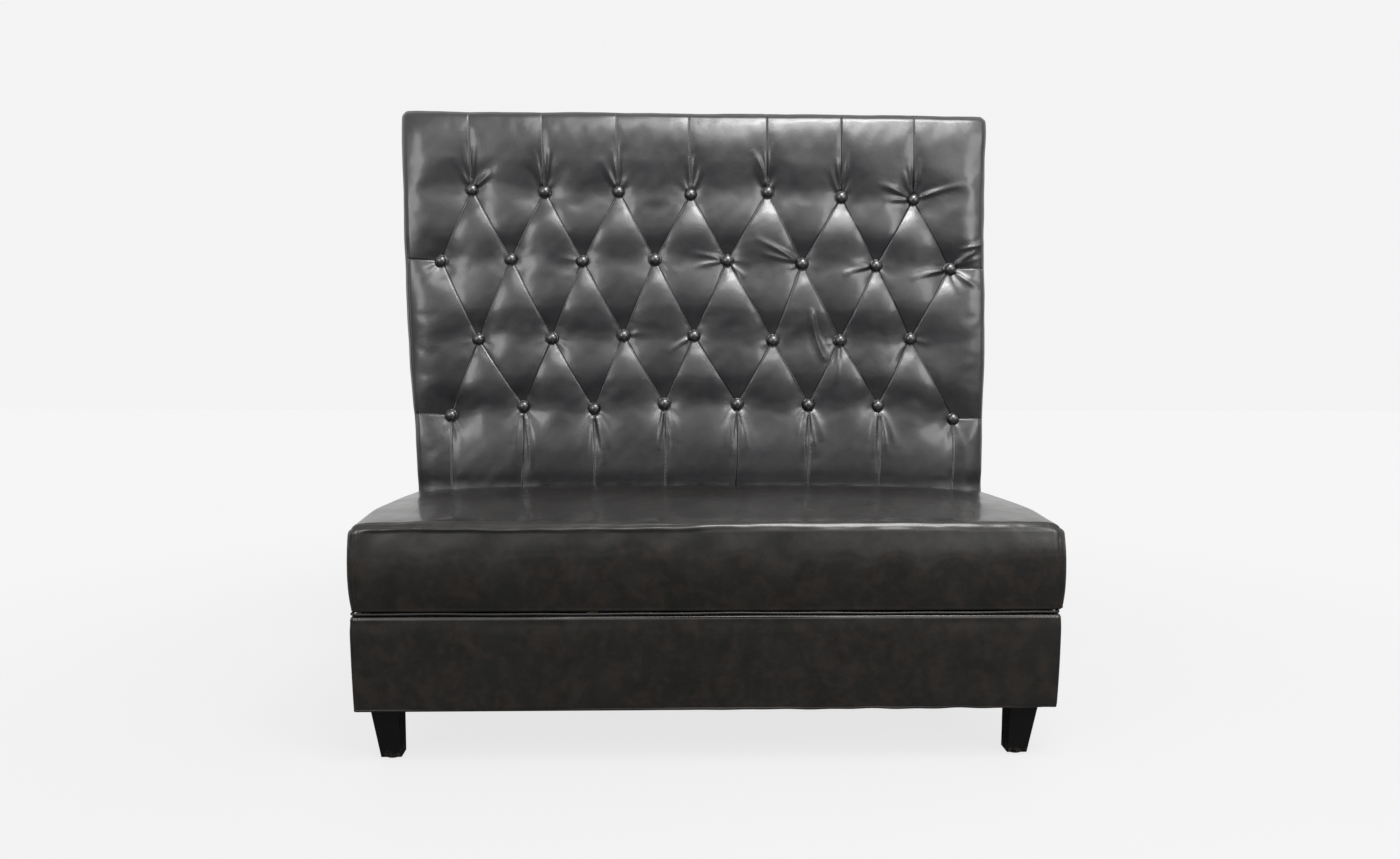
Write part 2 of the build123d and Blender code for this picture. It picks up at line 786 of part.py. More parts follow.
def roll_over(z, radius):
    """How far a rounded top edge has drawn in at a height."""
    up = max(0.0, z - (overall_height - radius)) / radius
    return radius * (1 - (1 - min(1.0, up) ** 2) ** 0.5)


def pad_wire(section, inset):
    """The closed outline of one section of the back, taken in by inset."""
    nominal, seams, crests, edge_fall, middle_fall = section
    scale = (overall_height - inset - base_top - lining_gap) / (overall_height - base_top - lining_gap)

    def lowered(z):
        return base_top + lining_gap + (z - base_top - lining_gap) * scale

    half = half_width_at(nominal) - inset - roll_over(nominal, top_corner_radius)
    face = back_face + inset + lean_at(nominal) + roll_over(nominal, top_radius)
    level = lowered(nominal)

    def at(x, fall, z):
        return (x, face + fall * tuft_depth, lowered(z))

    rear = panel_rear
    corner_x = half - edge_radius
    corner_y = face + edge_fall * tuft_depth
    side_y = face + edge_radius
    turn = round_middle_share * edge_radius
    left, right = seams[0], seams[-1]
    turn_y = corner_y + round_middle_share * (side_y - corner_y)
    edges = [
        Line((-half, rear, level), (-half, side_y, level)).edge(),
        bend((-half, side_y, level), (-half + turn, turn_y, level), (-corner_x, corner_y, level)),
        bend((-corner_x, corner_y, level),
             at((left[0] - corner_x) / 2, middle_fall, (left[1] + nominal) / 2),
             at(left[0], left[2], left[1])),
    ]
    for a, b, crest in zip(seams[:-1], seams[1:], crests):
        middle = at((a[0] + b[0]) / 2, crest, (a[1] + b[1]) / 2)
        edges.append(bend(at(a[0], a[2], a[1]), middle, at(b[0], b[2], b[1])))
    edges += [
        bend(at(right[0], right[2], right[1]),
             at((right[0] + corner_x) / 2, middle_fall, (right[1] + nominal) / 2),
             (corner_x, corner_y, level)),
        bend((corner_x, corner_y, level), (half - turn, turn_y, level), (half, side_y, level)),
        Line((half, side_y, level), (half, rear, level)).edge(),
        Line((half, rear, level), (-half, rear, level)).edge(),
    ]
    return Wire(edges)


def pocket_floor(x, z):
    """Where the back of a button rests."""
    return back_face + lean_at(z) + tuft_depth + pocket_extra_depth


def pockets(inset):
    """The round pockets that the buttons are pulled into, taken in by inset."""
    radius = button_radius + button_gap + inset
    return [rod((x, front_face, z), (x, pocket_floor(x, z) + inset, z), radius) for x, z in buttons]


def back_form(inset):
    """The whole padded shape of the back, with its tufts and button pockets, taken in by inset."""
    return Solid.make_loft([pad_wire(s, inset) for s in pad_sections()], ruled=True) - pockets(inset)


def twine_holes():
    """Bores for the twines through leather, foam and panel."""
    radius = twine_radius + twine_hole_gap
    return [rod((x, pocket_floor(x, z) - overrun, z), (x, frame_front_y + overrun, z), radius)
            for x, z in buttons]


def button():
    """A covered button, domed to the front, with its flat back at y = 0."""
    rise = button_height - button_rim
    dome_radius = (button_radius ** 2 + rise ** 2) / (2 * rise)
    dome = Pos(0, dome_radius - button_height, 0) * Sphere(dome_radius)
    return rod((0, 0, 0), (0, -button_height, 0), button_radius) & dome


def twine(x, z):
    """The waxed twine from a button to the knot behind the panel."""
    start, end = pocket_floor(x, z), frame_front_y + twine_washer_thickness
    knot = rod((x, end, z), (x, end + knot_length, z), knot_radius)
    return rod((x, start, z), (x, end, z), twine_radius) + knot


def twine_washer(x, z):
    """The washer that spreads a twine's pull over the panel."""
    y, radius = frame_front_y, twine_radius + twine_hole_gap
    disc = rod((x, y, z), (x, y + twine_washer_thickness, z), twine_washer_radius)
    return disc - rod((x, y - overrun, z), (x, y + overrun, z), radius)


def clear_of_twines(shape):
    """A stud or rail, relieved behind any button whose knot it would meet."""
    radius = twine_washer_radius + knot_room
    depth = twine_washer_thickness + knot_length + knot_room
    start, end = frame_front_y - fit_gap, frame_front_y + depth
    return shape - [rod((x, start, z), (x, end, z), radius) for x, z in buttons]


def post(side):
    """A back post: it stands on a corner block and laps over the rear rail of the base."""
    low = frame_bottom + corner_block_height
    outer, inner = side * inner_half, side * (inner_half - post_width)
    body = block(outer, inner, frame_front_y, frame_rear, low, back_frame_top)
    lap = block(outer + side * overrun, inner - side * overrun, frame_rear - board, frame_rear + overrun,
                frame_bottom - overrun, base_top)
    stud_room = rod((side * leg_x, leg_rear_y, low - overrun),
                    (side * leg_x, leg_rear_y, low + tee_flange_thickness + hanger_stand + fit_gap),
                    tee_flange_radius + fit_gap)
    bolt_holes = [post_bolt_hole(*place) for place in post_bolt_places if place[0] == side]
    return clear_of_twines(body - lap - stud_room - bolt_holes)


def back_side_board(side):
    """The plywood side of the back, standing on the side rail of the base."""
    return block(side * inner_half, side * frame_half, frame_front_y, frame_rear, base_top, back_frame_top)


post_inner = inner_half - post_width


def back_rail(z):
    """A rail of the back between the posts. z is its top."""
    low = z - back_rail_height
    return clear_of_twines(block(-post_inner, post_inner, frame_front_y, frame_rear, low, z))


middle_rail_top = (row_heights[1] + row_heights[2]) / 2 + back_rail_height / 2
low_rail_top = seat_edge_height + back_rail_height
stud_x = button_pitch * stud_place_share


def back_stud(low, high):
    """A short stud between two rails, clear of the button columns."""
    half = post_width / 2
    return clear_of_twines(block(stud_x - half, stud_x + half, frame_front_y, frame_rear, low, high))


panel_height = back_frame_top - base_top
panel_screw_x = inner_half - post_width / 2
panel_screw_places = [
    (side * panel_screw_x, base_top + panel_height * share)
    for side in (-1, 1) for share in panel_screw_height_shares
]


def panel_screw(x, z):
    """A flat-headed screw that holds the tufting panel to a post."""
    start = tuft_panel_front
    shank = rod((x, start, z), (x, start + panel_screw_length, z), panel_screw_radius)
    return shank + rod((x, start, z), (x, start + panel_screw_head_height, z), panel_screw_head_radius)


def panel_screw_hole(x, z):
    """The bore and the sunk seat of a panel screw."""
    start = tuft_panel_front
    mouth, radius = (x, start - overrun, z), panel_screw_head_radius + fit_gap
    bore = rod(mouth, (x, start + panel_screw_length + fit_gap, z), panel_screw_radius + fit_gap)
    return bore + rod(mouth, (x, start + panel_screw_head_height, z), radius)


def tufting_panel():
    """The plywood that the foam is glued to, bored for the twines."""
    body = block(-frame_half, frame_half, tuft_panel_front, frame_front_y, base_top, back_frame_top)
    return body - twine_holes() - [panel_screw_hole(*place) for place in panel_screw_places]


def beyond(side, x):
    """Everything on one side of a plane across X."""
    return block(side * x, side * (half_width + overrun), front_face - overrun, rear_face + overrun,
                 frame_bottom - overrun, overall_height + overrun)


def rear_sheet(inset, thickness):
    """A flat sheet over the wall side, with rounded top corners. A negative thickness goes rearwards."""
    low = frame_bottom - leather + inset
    high = overall_height - inset
    half = half_width_at(base_top) - inset
    plane = Plane(origin=(0, panel_rear, 0), x_dir=(1, 0, 0), z_dir=(0, -1, 0))
    outline = Pos(0, (low + high) / 2) * RectangleRounded(half * 2, high - low, top_corner_radius - inset)
    return extrude(plane * outline, thickness)


def main():
    os.makedirs("parts", exist_ok=True)

    # Legs and their fixings
    for name, (side, end, x, y) in leg_places.items():
        write(f"leg_{name}", Pos(x, y, 0) * leg(side, end))
    write("leg_glides", [Pos(x - side * foot_shift, y - end * foot_shift, 0) * glide()
                         for side, end, x, y in leg_places.values()])
    write("leg_hanger_bolts", [Pos(x, y, 0) * hanger_bolt() for _, _, x, y in leg_places.values()])
    write("leg_tee_nuts", [Pos(x, y, 0) * tee_nut() for _, _, x, y in leg_places.values()])
    write("corner_blocks", [corner_block(side, end) for side, end, _, _ in leg_places.values()])

    # Base box
    front = block(-frame_half, frame_half, frame_front, frame_front + board, frame_bottom, base_top)
    rear = block(-inner_half, inner_half, frame_rear - board, frame_rear, frame_bottom, base_top)
    write("base_front_rail", front - staple_holes)
    write("base_rear_rail", rear - staple_holes)
    write("base_left_rail", side_rail(-1) - staple_holes)
    write("base_right_rail", side_rail(1) - staple_holes)
    rail_holes = [hole for site in bracket_sites() for hole in bracket_screw_holes(*site)]
    write("base_cross_rails", [cross_rail(side) - rail_holes for side in (-1, 1)])
    write("seat_packers", [packer(side) - rail_holes for side in (-1, 1)])
    write("base_padding", base_padding())
    write("base_cover", base_cover())
    write("base_welt", base_welt())
    write("dust_cloth", dust_cloth())
    write("dust_cloth_staples", [staple(*site) for site in staple_sites()])
    write("post_bolts", [post_bolt(*place) for place in post_bolt_places])
    write("post_washers", [post_washer(*place) for place in post_bolt_places])
    write("post_nuts", [post_nut(*place) for place in post_bolt_places])

    # Seat unit
    write("seat_front_rail", seat_rail(-1))
    write("seat_rear_rail", seat_rail(1))
    write("seat_left_rail", seat_side_rail(-1))
    write("seat_right_rail", seat_side_rail(1))
    write("seat_brackets", [seat_bracket(*site) for site in bracket_sites()])
    write("bracket_screws", [screw for site in bracket_sites() for screw in bracket_screws(*site)])
    one_spring = spring()
    write("seat_springs", [Pos(x, 0, 0) * one_spring for x in spring_places])
    clip_sites = [(x, end) for x in spring_places for end in (-1, 1)]
    write("spring_clips", [spring_clip(*site) for site in clip_sites])
    write("clip_nails", [clip_nail(*site) for site in clip_sites])
    write("spring_felt", felt())
    write("seat_foam", cushion_foam())
    seam_x = half_width - side_panel_border
    seat_leather = cushion_leather()
    write("seat_cover", seat_leather - beyond(-1, seam_x) - beyond(1, seam_x))
    write("seat_left_side_cover", seat_leather & beyond(-1, seam_x))
    write("seat_right_side_cover", seat_leather & beyond(1, seam_x))

    # Back frame
    for name, side in (("left", -1), ("right", 1)):
        own_screws = [panel_screw_hole(*place) for place in panel_screw_places if place[0] * side > 0]
        write(f"back_post_{name}", post(side) - own_screws)
        write(f"back_side_board_{name}", back_side_board(side))
    write("back_top_rail", back_rail(back_frame_top))
    write("back_middle_rail", back_rail(middle_rail_top))
    write("back_low_rail", back_rail(low_rail_top))
    write("back_studs", [
        back_stud(low_rail_top, middle_rail_top - back_rail_height),
        back_stud(middle_rail_top, back_frame_top - back_rail_height),
    ])
    write("tufting_panel", tufting_panel())
    write("tufting_panel_screws", [panel_screw(*place) for place in panel_screw_places])
    write("rear_panel", rear_sheet(leather + rear_panel_gap, rear_panel_thickness))
    write("rear_cover", rear_sheet(0, -leather))

    # Tufted pad and its leather
    lining = back_form(leather + lining_gap) - twine_holes()
    foam_reach = block(-half_width, half_width, front_face, tuft_panel_front, base_top, overall_height)
    write("back_foam", lining & foam_reach)
    behind = block(-half_width, half_width, tuft_panel_front, frame_rear, base_top, overall_height)
    wrap = lining & behind
    write("back_side_paddings", [
        wrap & block(side * frame_half, side * half_width, front_face, rear_face, base_top, back_frame_top)
        for side in (-1, 1)])
    over_frame = block(-half_width, half_width, front_face, rear_face, back_frame_top, overall_height)
    write("back_top_padding", wrap & over_frame)
    hide = back_form(0) - back_form(leather) - twine_holes()
    write("back_cover", hide - beyond(-1, seam_x) - beyond(1, seam_x))
    write("back_left_side_cover", hide & beyond(-1, seam_x))
    write("back_right_side_cover", hide & beyond(1, seam_x))
    one_button = button()
    write("tuft_buttons", [Pos(x, pocket_floor(x, z), z) * one_button for x, z in buttons])
    write("tuft_twines", [twine(*place) for place in buttons])
    write("twine_washers", [twine_washer(*place) for place in buttons])


main()
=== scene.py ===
import math

import bmesh
import bpy
import numpy as np
from mathutils import Matrix, Vector
from mathutils.kdtree import KDTree


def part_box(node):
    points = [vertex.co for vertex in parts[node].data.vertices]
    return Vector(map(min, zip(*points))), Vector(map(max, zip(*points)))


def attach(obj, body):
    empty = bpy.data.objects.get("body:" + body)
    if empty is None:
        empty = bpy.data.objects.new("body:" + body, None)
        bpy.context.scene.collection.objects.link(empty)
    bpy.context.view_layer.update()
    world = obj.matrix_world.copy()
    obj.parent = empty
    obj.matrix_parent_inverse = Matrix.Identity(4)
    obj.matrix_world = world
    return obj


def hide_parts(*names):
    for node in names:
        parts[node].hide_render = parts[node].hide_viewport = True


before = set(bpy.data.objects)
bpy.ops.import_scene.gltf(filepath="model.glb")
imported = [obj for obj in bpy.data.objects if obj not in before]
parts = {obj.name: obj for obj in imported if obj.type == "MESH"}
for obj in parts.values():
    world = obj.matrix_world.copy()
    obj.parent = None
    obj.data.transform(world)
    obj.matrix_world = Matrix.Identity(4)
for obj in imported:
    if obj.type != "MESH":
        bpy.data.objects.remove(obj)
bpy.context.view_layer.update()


# Legs
#
# Four short square legs of beech, tapered on their two outer faces and finished in black satin lacquer.
# Each is turned onto a steel stud that a tee nut in its corner block holds.

class Signal:
    """One value in a node tree. Sums on it add the Math nodes that work it out."""

    def __init__(self, tree, socket):
        self.tree, self.socket = tree, socket

    def _sum(self, operation, first, second):
        return self.tree.make("ShaderNodeMath", {"operation": operation}, {0: first, 1: second})

    def __add__(self, other):
        return self._sum("ADD", self, other)

    def __radd__(self, other):
        return self._sum("ADD", other, self)

    def __sub__(self, other):
        return self._sum("SUBTRACT", self, other)

    def __rsub__(self, other):
        return self._sum("SUBTRACT", other, self)

    def __mul__(self, other):
        return self._sum("MULTIPLY", self, other)

    def __rmul__(self, other):
        return self._sum("MULTIPLY", other, self)


class Tree:
    """A node tree. make() adds a node from its type, its settings and its sockets' values or links."""

    def __init__(self, tree):
        self.tree = tree

    def make(self, kind, settings=None, sockets=None, output=0):
        node = self.tree.nodes.new(kind)
        for name, value in (settings or {}).items():
            if name == "stops":
                ramp = node.color_ramp
                while len(ramp.elements) < len(value):
                    ramp.elements.new(0.5)
                for element, (place, colour) in zip(ramp.elements, value):
                    element.position, element.color = place, colour
            else:
                setattr(node, name, value)
        for name, value in (sockets or {}).items():
            if isinstance(value, Signal):
                self.tree.links.new(value.socket, node.inputs[name])
            else:
                node.inputs[name].default_value = value
        return Signal(self, node.outputs[output]) if node.outputs else node

    def rise(self, value, start, end, low=0.0, high=1.0):
        """low at the start and before it, high at the end and past it, and a smooth change between them."""
        return self.make("ShaderNodeMapRange", {"interpolation_type": "SMOOTHSTEP"},
                         {"Value": value, "From Min": start, "From Max": end, "To Min": low, "To Max": high})

    def larger(self, first, second):
        return self.make("ShaderNodeMath", {"operation": "MAXIMUM"}, {0: first, 1: second})


class Finish(Tree):
    """A material in the making."""

    def __init__(self, name):
        self.material = bpy.data.materials.new(name)
        self.material.use_nodes = True
        super().__init__(self.material.node_tree)
        self.tree.nodes.clear()
        self.place = self.make("ShaderNodeTexCoord", output="Object")

    def stretched(self, *scale):
        """Places scaled along x, y and z, so that a pattern runs long where its scale is small."""
        return self.make("ShaderNodeMapping", {}, {"Vector": self.place, "Scale": scale})

    def noise(self, scale, detail=2.0, place=None, **more):
        return self.make("ShaderNodeTexNoise", {},
                         {"Vector": place or self.place, "Scale": scale, "Detail": detail, **more})

    def wave(self, scale, distortion):
        return self.make("ShaderNodeTexWave", {},
                         {"Vector": self.place, "Scale": scale, "Distortion": distortion}, "Fac")

    def ramp(self, value, *stops):
        return self.make("ShaderNodeValToRGB", {"stops": stops}, {"Fac": value})

    def mix(self, share, first, second):
        return self.make("ShaderNodeMix", {"data_type": "RGBA"}, {0: share, 6: first, 7: second}, 2)

    def bump(self, height, strength, distance, under=None):
        sockets = {"Height": height, "Strength": strength, "Distance": distance}
        if under is not None:
            sockets["Normal"] = under
        return self.make("ShaderNodeBump", {}, sockets)

    def close(self, sockets):
        """Ends the tree in a Principled surface and returns the material."""
        shader = self.make("ShaderNodeBsdfPrincipled", {}, sockets)
        self.make("ShaderNodeOutputMaterial", {}, {"Surface": shader})
        return self.material


def grey(level, warm=0.0):
    """A nearly grey colour. warm moves it towards brown."""
    return (level * (1 + warm), level, level * (1 - warm), 1.0)


black, white = grey(0.0), grey(1.0)


def dress(material, *names):
    """Gives CAD nodes a finish."""
    for name in names:
        mesh = parts[name].data
        mesh.materials.clear()
        mesh.materials.append(material)
        mesh.polygons.foreach_set("material_index", np.zeros(len(mesh.polygons), np.int32))


def leg_lacquer():
    finish = Finish("black_leg_lacquer")
    level = finish.make("ShaderNodeSeparateXYZ", {}, {"Vector": finish.place}, "Z")
    scuff = finish.noise(210, 5.0, Roughness=0.7)
    kicked = finish.rise(level, 0.03, 0.004) * 0.16
    worn = finish.ramp(scuff + kicked, (0.66, black), (0.74, white))
    figure = finish.noise(240, 4.0, finish.stretched(1.0, 1.0, 0.12))
    return finish.close({
        "Base Color": finish.mix(worn, grey(0.0020, 0.02), (0.026, 0.021, 0.017, 1)),
        "Roughness": 0.3 + figure * 0.12 + worn * 0.2,
        "Normal": finish.bump(figure, 0.12, 0.0006),
        "Specular IOR Level": 0.25,
        "Coat Weight": 0.07,
        "Coat Roughness": 0.22,
    })


dress(leg_lacquer(), "leg_front_left", "leg_front_right", "leg_rear_left", "leg_rear_right")


# Glides, studs and tee nuts
#
# A nylon glide is nailed under each foot. The studs, tee nuts and, further up, the bolts, washers, nuts,
# screws, brackets, clips, nails, staples and springs are mild steel, zinc plated or black oiled.

def moulded_nylon():
    finish = Finish("black_nylon")
    grain = finish.noise(900, 2.0)
    return finish.close({
        "Base Color": finish.mix(finish.noise(60), grey(0.02), grey(0.03)),
        "Roughness": 0.5 + grain * 0.15,
        "Normal": finish.bump(grain, 0.08, 0.0003),
    })


def plated_steel(name, level, warm, roughness):
    finish = Finish(name)
    spangle = finish.make("ShaderNodeTexVoronoi", {}, {"Vector": finish.place, "Scale": 260.0}, "Color")
    worn = finish.noise(90, 5.0)
    tone = finish.mix(0.18, grey(level, warm), spangle)
    return finish.close({
        "Base Color": finish.mix(worn, tone, grey(level * 0.75, warm)),
        "Metallic": 1.0,
        "Roughness": roughness + worn * 0.18,
        "Normal": finish.bump(finish.noise(700, 3.0), 0.06, 0.0003),
    })


def opened(piece):
    """A piece's mesh, open for changes."""
    work = bmesh.new()
    work.from_mesh(piece.data)
    return work


def hand_back(work, mesh):
    """Closes an opened mesh into a mesh."""
    work.to_mesh(mesh)
    work.free()


def new_piece(name, mesh):
    """An object at the origin for a mesh, a lamp or a camera."""
    piece = bpy.data.objects.new(name, mesh)
    bpy.context.scene.collection.objects.link(piece)
    return piece


dress(moulded_nylon(), "leg_glides")
dress(plated_steel("zinc_plated_steel", 0.62, 0.03, 0.3), "leg_hanger_bolts", "leg_tee_nuts", "post_bolts",
      "post_washers", "post_nuts", "seat_brackets", "bracket_screws", "tufting_panel_screws", "twine_washers",
      "clip_nails", "spring_clips", "dust_cloth_staples")

# The zigzag springs' CAD mesh is finer than a piece needs and in strips that only touch. A copy of it is
# joined up and thinned, so that it stays whole.
same_place = 1e-7
work = opened(parts["seat_springs"])
bmesh.ops.remove_doubles(work, verts=work.verts, dist=same_place)
springs = new_piece("zigzag_spring_set", bpy.data.meshes.new("zigzag_spring_set"))
hand_back(work, springs.data)
springs.data.materials.append(plated_steel("black_oiled_spring_steel", 0.16, 0.04, 0.34))
thinner = springs.modifiers.new("thinner", "DECIMATE")
thinner.ratio = 0.5
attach(springs, "root")
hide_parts("seat_springs")


# Base box, seat frame and back frame
#
# Birch ply boards and planed pine, glued and nailed. The leather hides all of it; only the underside of the
# seat frame could be seen, with the dust cloth off.

def planed_timber(name, pale, dark, along, ring_scale):
    """Sawn wood whose rings run along one axis."""
    finish = Finish(name)
    squeeze = [1.0, 1.0, 1.0]
    squeeze["XYZ".index(along)] = 0.04
    stretched = finish.stretched(*squeeze)
    swirl = finish.noise(24.0, 4.0, stretched)
    lines = finish.make("ShaderNodeTexWave", {"wave_type": "RINGS", "rings_direction": along},
                        {"Vector": stretched, "Scale": ring_scale, "Distortion": 5.0, "Detail": 2.0}, "Fac")
    fibre = finish.noise(420.0, 3.0, stretched)
    return finish.close({
        "Base Color": finish.mix(lines * 0.45 + swirl * 0.4, pale, dark),
        "Roughness": 0.62 + fibre * 0.16,
        "Normal": finish.bump(fibre, 0.2, 0.0004),
    })


pine_pale, pine_dark, wide_rings = (0.62, 0.45, 0.26, 1), (0.42, 0.25, 0.11, 1), 28.0
birch_pale, birch_dark, thin_layers = (0.66, 0.52, 0.34, 1), (0.47, 0.33, 0.18, 1), 70.0
for along, run, pine_parts, ply_parts in (
        ("X", "across",
         ("seat_front_rail", "seat_rear_rail", "back_top_rail", "back_middle_rail", "back_low_rail"),
         ("base_front_rail", "base_rear_rail", "tufting_panel")),
        ("Y", "deep",
         ("seat_left_rail", "seat_right_rail", "seat_packers", "corner_blocks"),
         ("base_left_rail", "base_right_rail", "base_cross_rails")),
        ("Z", "upright",
         ("back_post_left", "back_post_right", "back_studs"),
         ("back_side_board_left", "back_side_board_right"))):
    dress(planed_timber("planed_pine_" + run, pine_pale, pine_dark, along, wide_rings), *pine_parts)
    dress(planed_timber("birch_ply_" + run, birch_pale, birch_dark, along, thin_layers), *ply_parts)


# Dust cloth and felt
#
# A black bonded cloth is stapled over the open underside, cut round the legs. A needled felt of mixed grey
# fibre lies on the springs and keeps them out of the foam.

def bonded_cloth(name, pale, dark, fibre_scale):
    finish = Finish(name)
    fibre = finish.make("ShaderNodeTexVoronoi", {"feature": "DISTANCE_TO_EDGE"},
                        {"Vector": finish.place, "Scale": fibre_scale}, "Distance")
    fluff = finish.noise(fibre_scale * 1.7, 5.0)
    return finish.close({
        "Base Color": finish.mix(fluff, dark, pale),
        "Roughness": 0.85 + fluff * 0.1,
        "Normal": finish.bump(fibre * 3.0 + fluff, 0.35, 0.0006),
    })


dress(bonded_cloth("black_bonded_cloth", grey(0.026), grey(0.011), 420.0), "dust_cloth")
dress(bonded_cloth("grey_needled_felt", grey(0.34, 0.05), grey(0.16, 0.08), 240.0), "spring_felt")


# Leather on the base
#
# One band of black coated leather with a brown cast in its mottling, drawn over thin foam round the front and
# both sides, and turned in and stapled over the top and bottom edges of the rails.

def coated_leather(name, dark, pale, patchiness, roughness, crease, gloss, coat_roughness=0.15):
    """Coated leather: fine pebbled grain, faint stretch creases and two-tone mottling under a clear coat."""
    finish = Finish(name)
    cloud = finish.noise(24.0, 6.0, Roughness=0.6, Distortion=0.5)
    fleck = finish.noise(66.0, 5.0, Roughness=0.62)
    patch = finish.ramp(cloud * 0.55 + fleck * 0.45, (0.44, black), (0.60, white))
    haze = finish.noise(4.5, 3.0)
    film = finish.noise(17.0, 6.0, Roughness=0.7, Distortion=0.8)
    pebble = finish.make("ShaderNodeTexVoronoi", {"feature": "F1"},
                         {"Vector": finish.place, "Scale": 640.0, "Randomness": 1.0}, "Distance")
    pore = finish.noise(1500.0, 2.0)
    stretch = finish.noise(26.0, 6.0, Roughness=0.68, Distortion=1.2)
    grain = finish.bump(pebble * 0.6 + pore * 0.25, 0.09, 0.0004)
    return finish.close({
        "Base Color": finish.mix(patch * patchiness, dark, pale),
        "Roughness": roughness + haze * 0.12 + film * 0.16 - 0.14,
        "Normal": finish.bump(stretch, 0.10 * crease, 0.0022, grain),
        "Specular IOR Level": gloss,
        "Coat Weight": finish.ramp(film, (0.36, grey(0.22)), (0.64, grey(0.52))),
        "Coat Roughness": coat_roughness,
        "Coat IOR": 1.45,
    })


def lay_mesh(name, points, faces, material):
    """A new smooth piece at the origin from points and lists of faces."""
    mesh = bpy.data.meshes.new(name)
    mesh.from_pydata(np.asarray(points).tolist(), [], faces)
    mesh.polygons.foreach_set("use_smooth", np.full(len(mesh.polygons), True))
    mesh.materials.append(material)
    return new_piece(name, mesh)


def squares(index):
    """The four-sided faces between the places of a numbered grid."""
    return np.stack([index[:-1, :-1], index[1:, :-1], index[1:, 1:], index[:-1, 1:]], axis=-1).reshape(-1, 4)


def box_skin(name, xs, ys, zs, sides, material):
    """A piece made of the named sides of a box on a lattice, with faces that point outwards."""
    every = slice(None)
    cuts = {"left": (0, every, every), "right": (-1, every, every), "front": (every, 0, every),
            "rear": (every, -1, every), "bottom": (every, every, 0), "top": (every, every, -1)}
    used = np.zeros((len(xs), len(ys), len(zs)), bool)
    for side in sides:
        used[cuts[side]] = True
    index = np.full(used.shape, -1)
    index[used] = np.arange(used.sum())
    i, j, k = np.nonzero(used)
    points = np.stack([xs[i], ys[j], zs[k]], axis=1)
    quads = []
    for side in sides:
        four = squares(index[cuts[side]])
        quads.append(four[:, ::-1] if side in ("left", "rear", "bottom") else four)
    return lay_mesh(name, points, np.concatenate(quads).tolist(), material)


def spaced(start, *runs):
    """Places along a line from its start through runs of (end, spacing), each evenly divided."""
    places = [start]
    for end, spacing in runs:
        count = max(1, round(abs(end - start) / spacing))
        places += [start + (end - start) * (n + 1) / count for n in range(count)]
        start = end
    return np.array(places)


def places_of(piece):
    """A piece's points as rows of an array."""
    flat = np.empty(len(piece.data.vertices) * 3)
    piece.data.vertices.foreach_get("co", flat)
    return flat.reshape(-1, 3)


def put(piece, points):
    """Moves a piece's points."""
    piece.data.vertices.foreach_set("co", np.asarray(points).ravel())
    piece.data.update()


def outward(piece, points):
    """The outward direction at each point of a piece, once they are put at new places."""
    put(piece, points)
    flat = np.empty(len(piece.data.vertices) * 3)
    piece.data.vertex_normals.foreach_get("vector", flat)
    return flat.reshape(-1, 3)


def round_edges(points, low, high, low_radius, high_radius):
    """Rolls the edges of a box skin. A radius of nearly nothing leaves that side's edges sharp."""
    low_radius, high_radius = np.asarray(low_radius), np.asarray(high_radius)
    core = np.clip(points, np.asarray(low) + low_radius, np.asarray(high) - high_radius)
    out = points - core
    share = out / np.where(out < 0, low_radius, high_radius)
    size = np.linalg.norm(share, axis=1, keepdims=True)
    return core + out / np.maximum(size, 1.0)


def ramp_up(values, start, end):
    """0 before start, 1 past end, and a smooth rise between them."""
    share = np.clip((values - start) / (end - start), 0, 1)
    return share * share * (3 - 2 * share)


def bell(values, middle, width):
    """1 at the middle value, dying away at about a width on both sides of it."""
    return np.exp(-((values - middle) / width) ** 2)


def ripple(points, waves, seed):
    """A smooth, slow unevenness: a sum of sine waves, each (length, height)."""
    chance = np.random.default_rng(seed)
    total = np.zeros(len(points))
    for length, height in waves:
        for _ in range(3):
            way = chance.normal(size=3)
            way /= np.linalg.norm(way)
            total += height / 3 * np.sin(points @ way * 2 * math.pi / length + chance.uniform(0, 2 * math.pi))
    return total


def face_outwards(work, piece):
    """Turns an opened piece's faces outwards, leaves its many-sided ends flat, and closes it."""
    bmesh.ops.recalc_face_normals(work, faces=work.faces)
    for face in work.faces:
        face.smooth = len(face.verts) <= 4
    hand_back(work, piece.data)


def close_inside(piece, steps):
    """Carries a skin's open rim inwards by steps, each a rule from old place to new, and fills the end."""
    work = opened(piece)
    rim = [edge for edge in work.edges if edge.is_boundary]
    for step in steps:
        made = bmesh.ops.extrude_edge_only(work, edges=rim)["geom"]
        for vertex in [item for item in made if isinstance(item, bmesh.types.BMVert)]:
            vertex.co = step(vertex.co)
        rim = [item for item in made if isinstance(item, bmesh.types.BMEdge) and item.is_boundary]
    bmesh.ops.contextual_create(work, geom=rim)
    face_outwards(work, piece)


base_leather = coated_leather("black_brown_leather", (0.0030, 0.0026, 0.0021, 1), (0.0126, 0.0086, 0.0059, 1),
                              0.8, 0.34, 0.8, 0.44, coat_roughness=0.11)

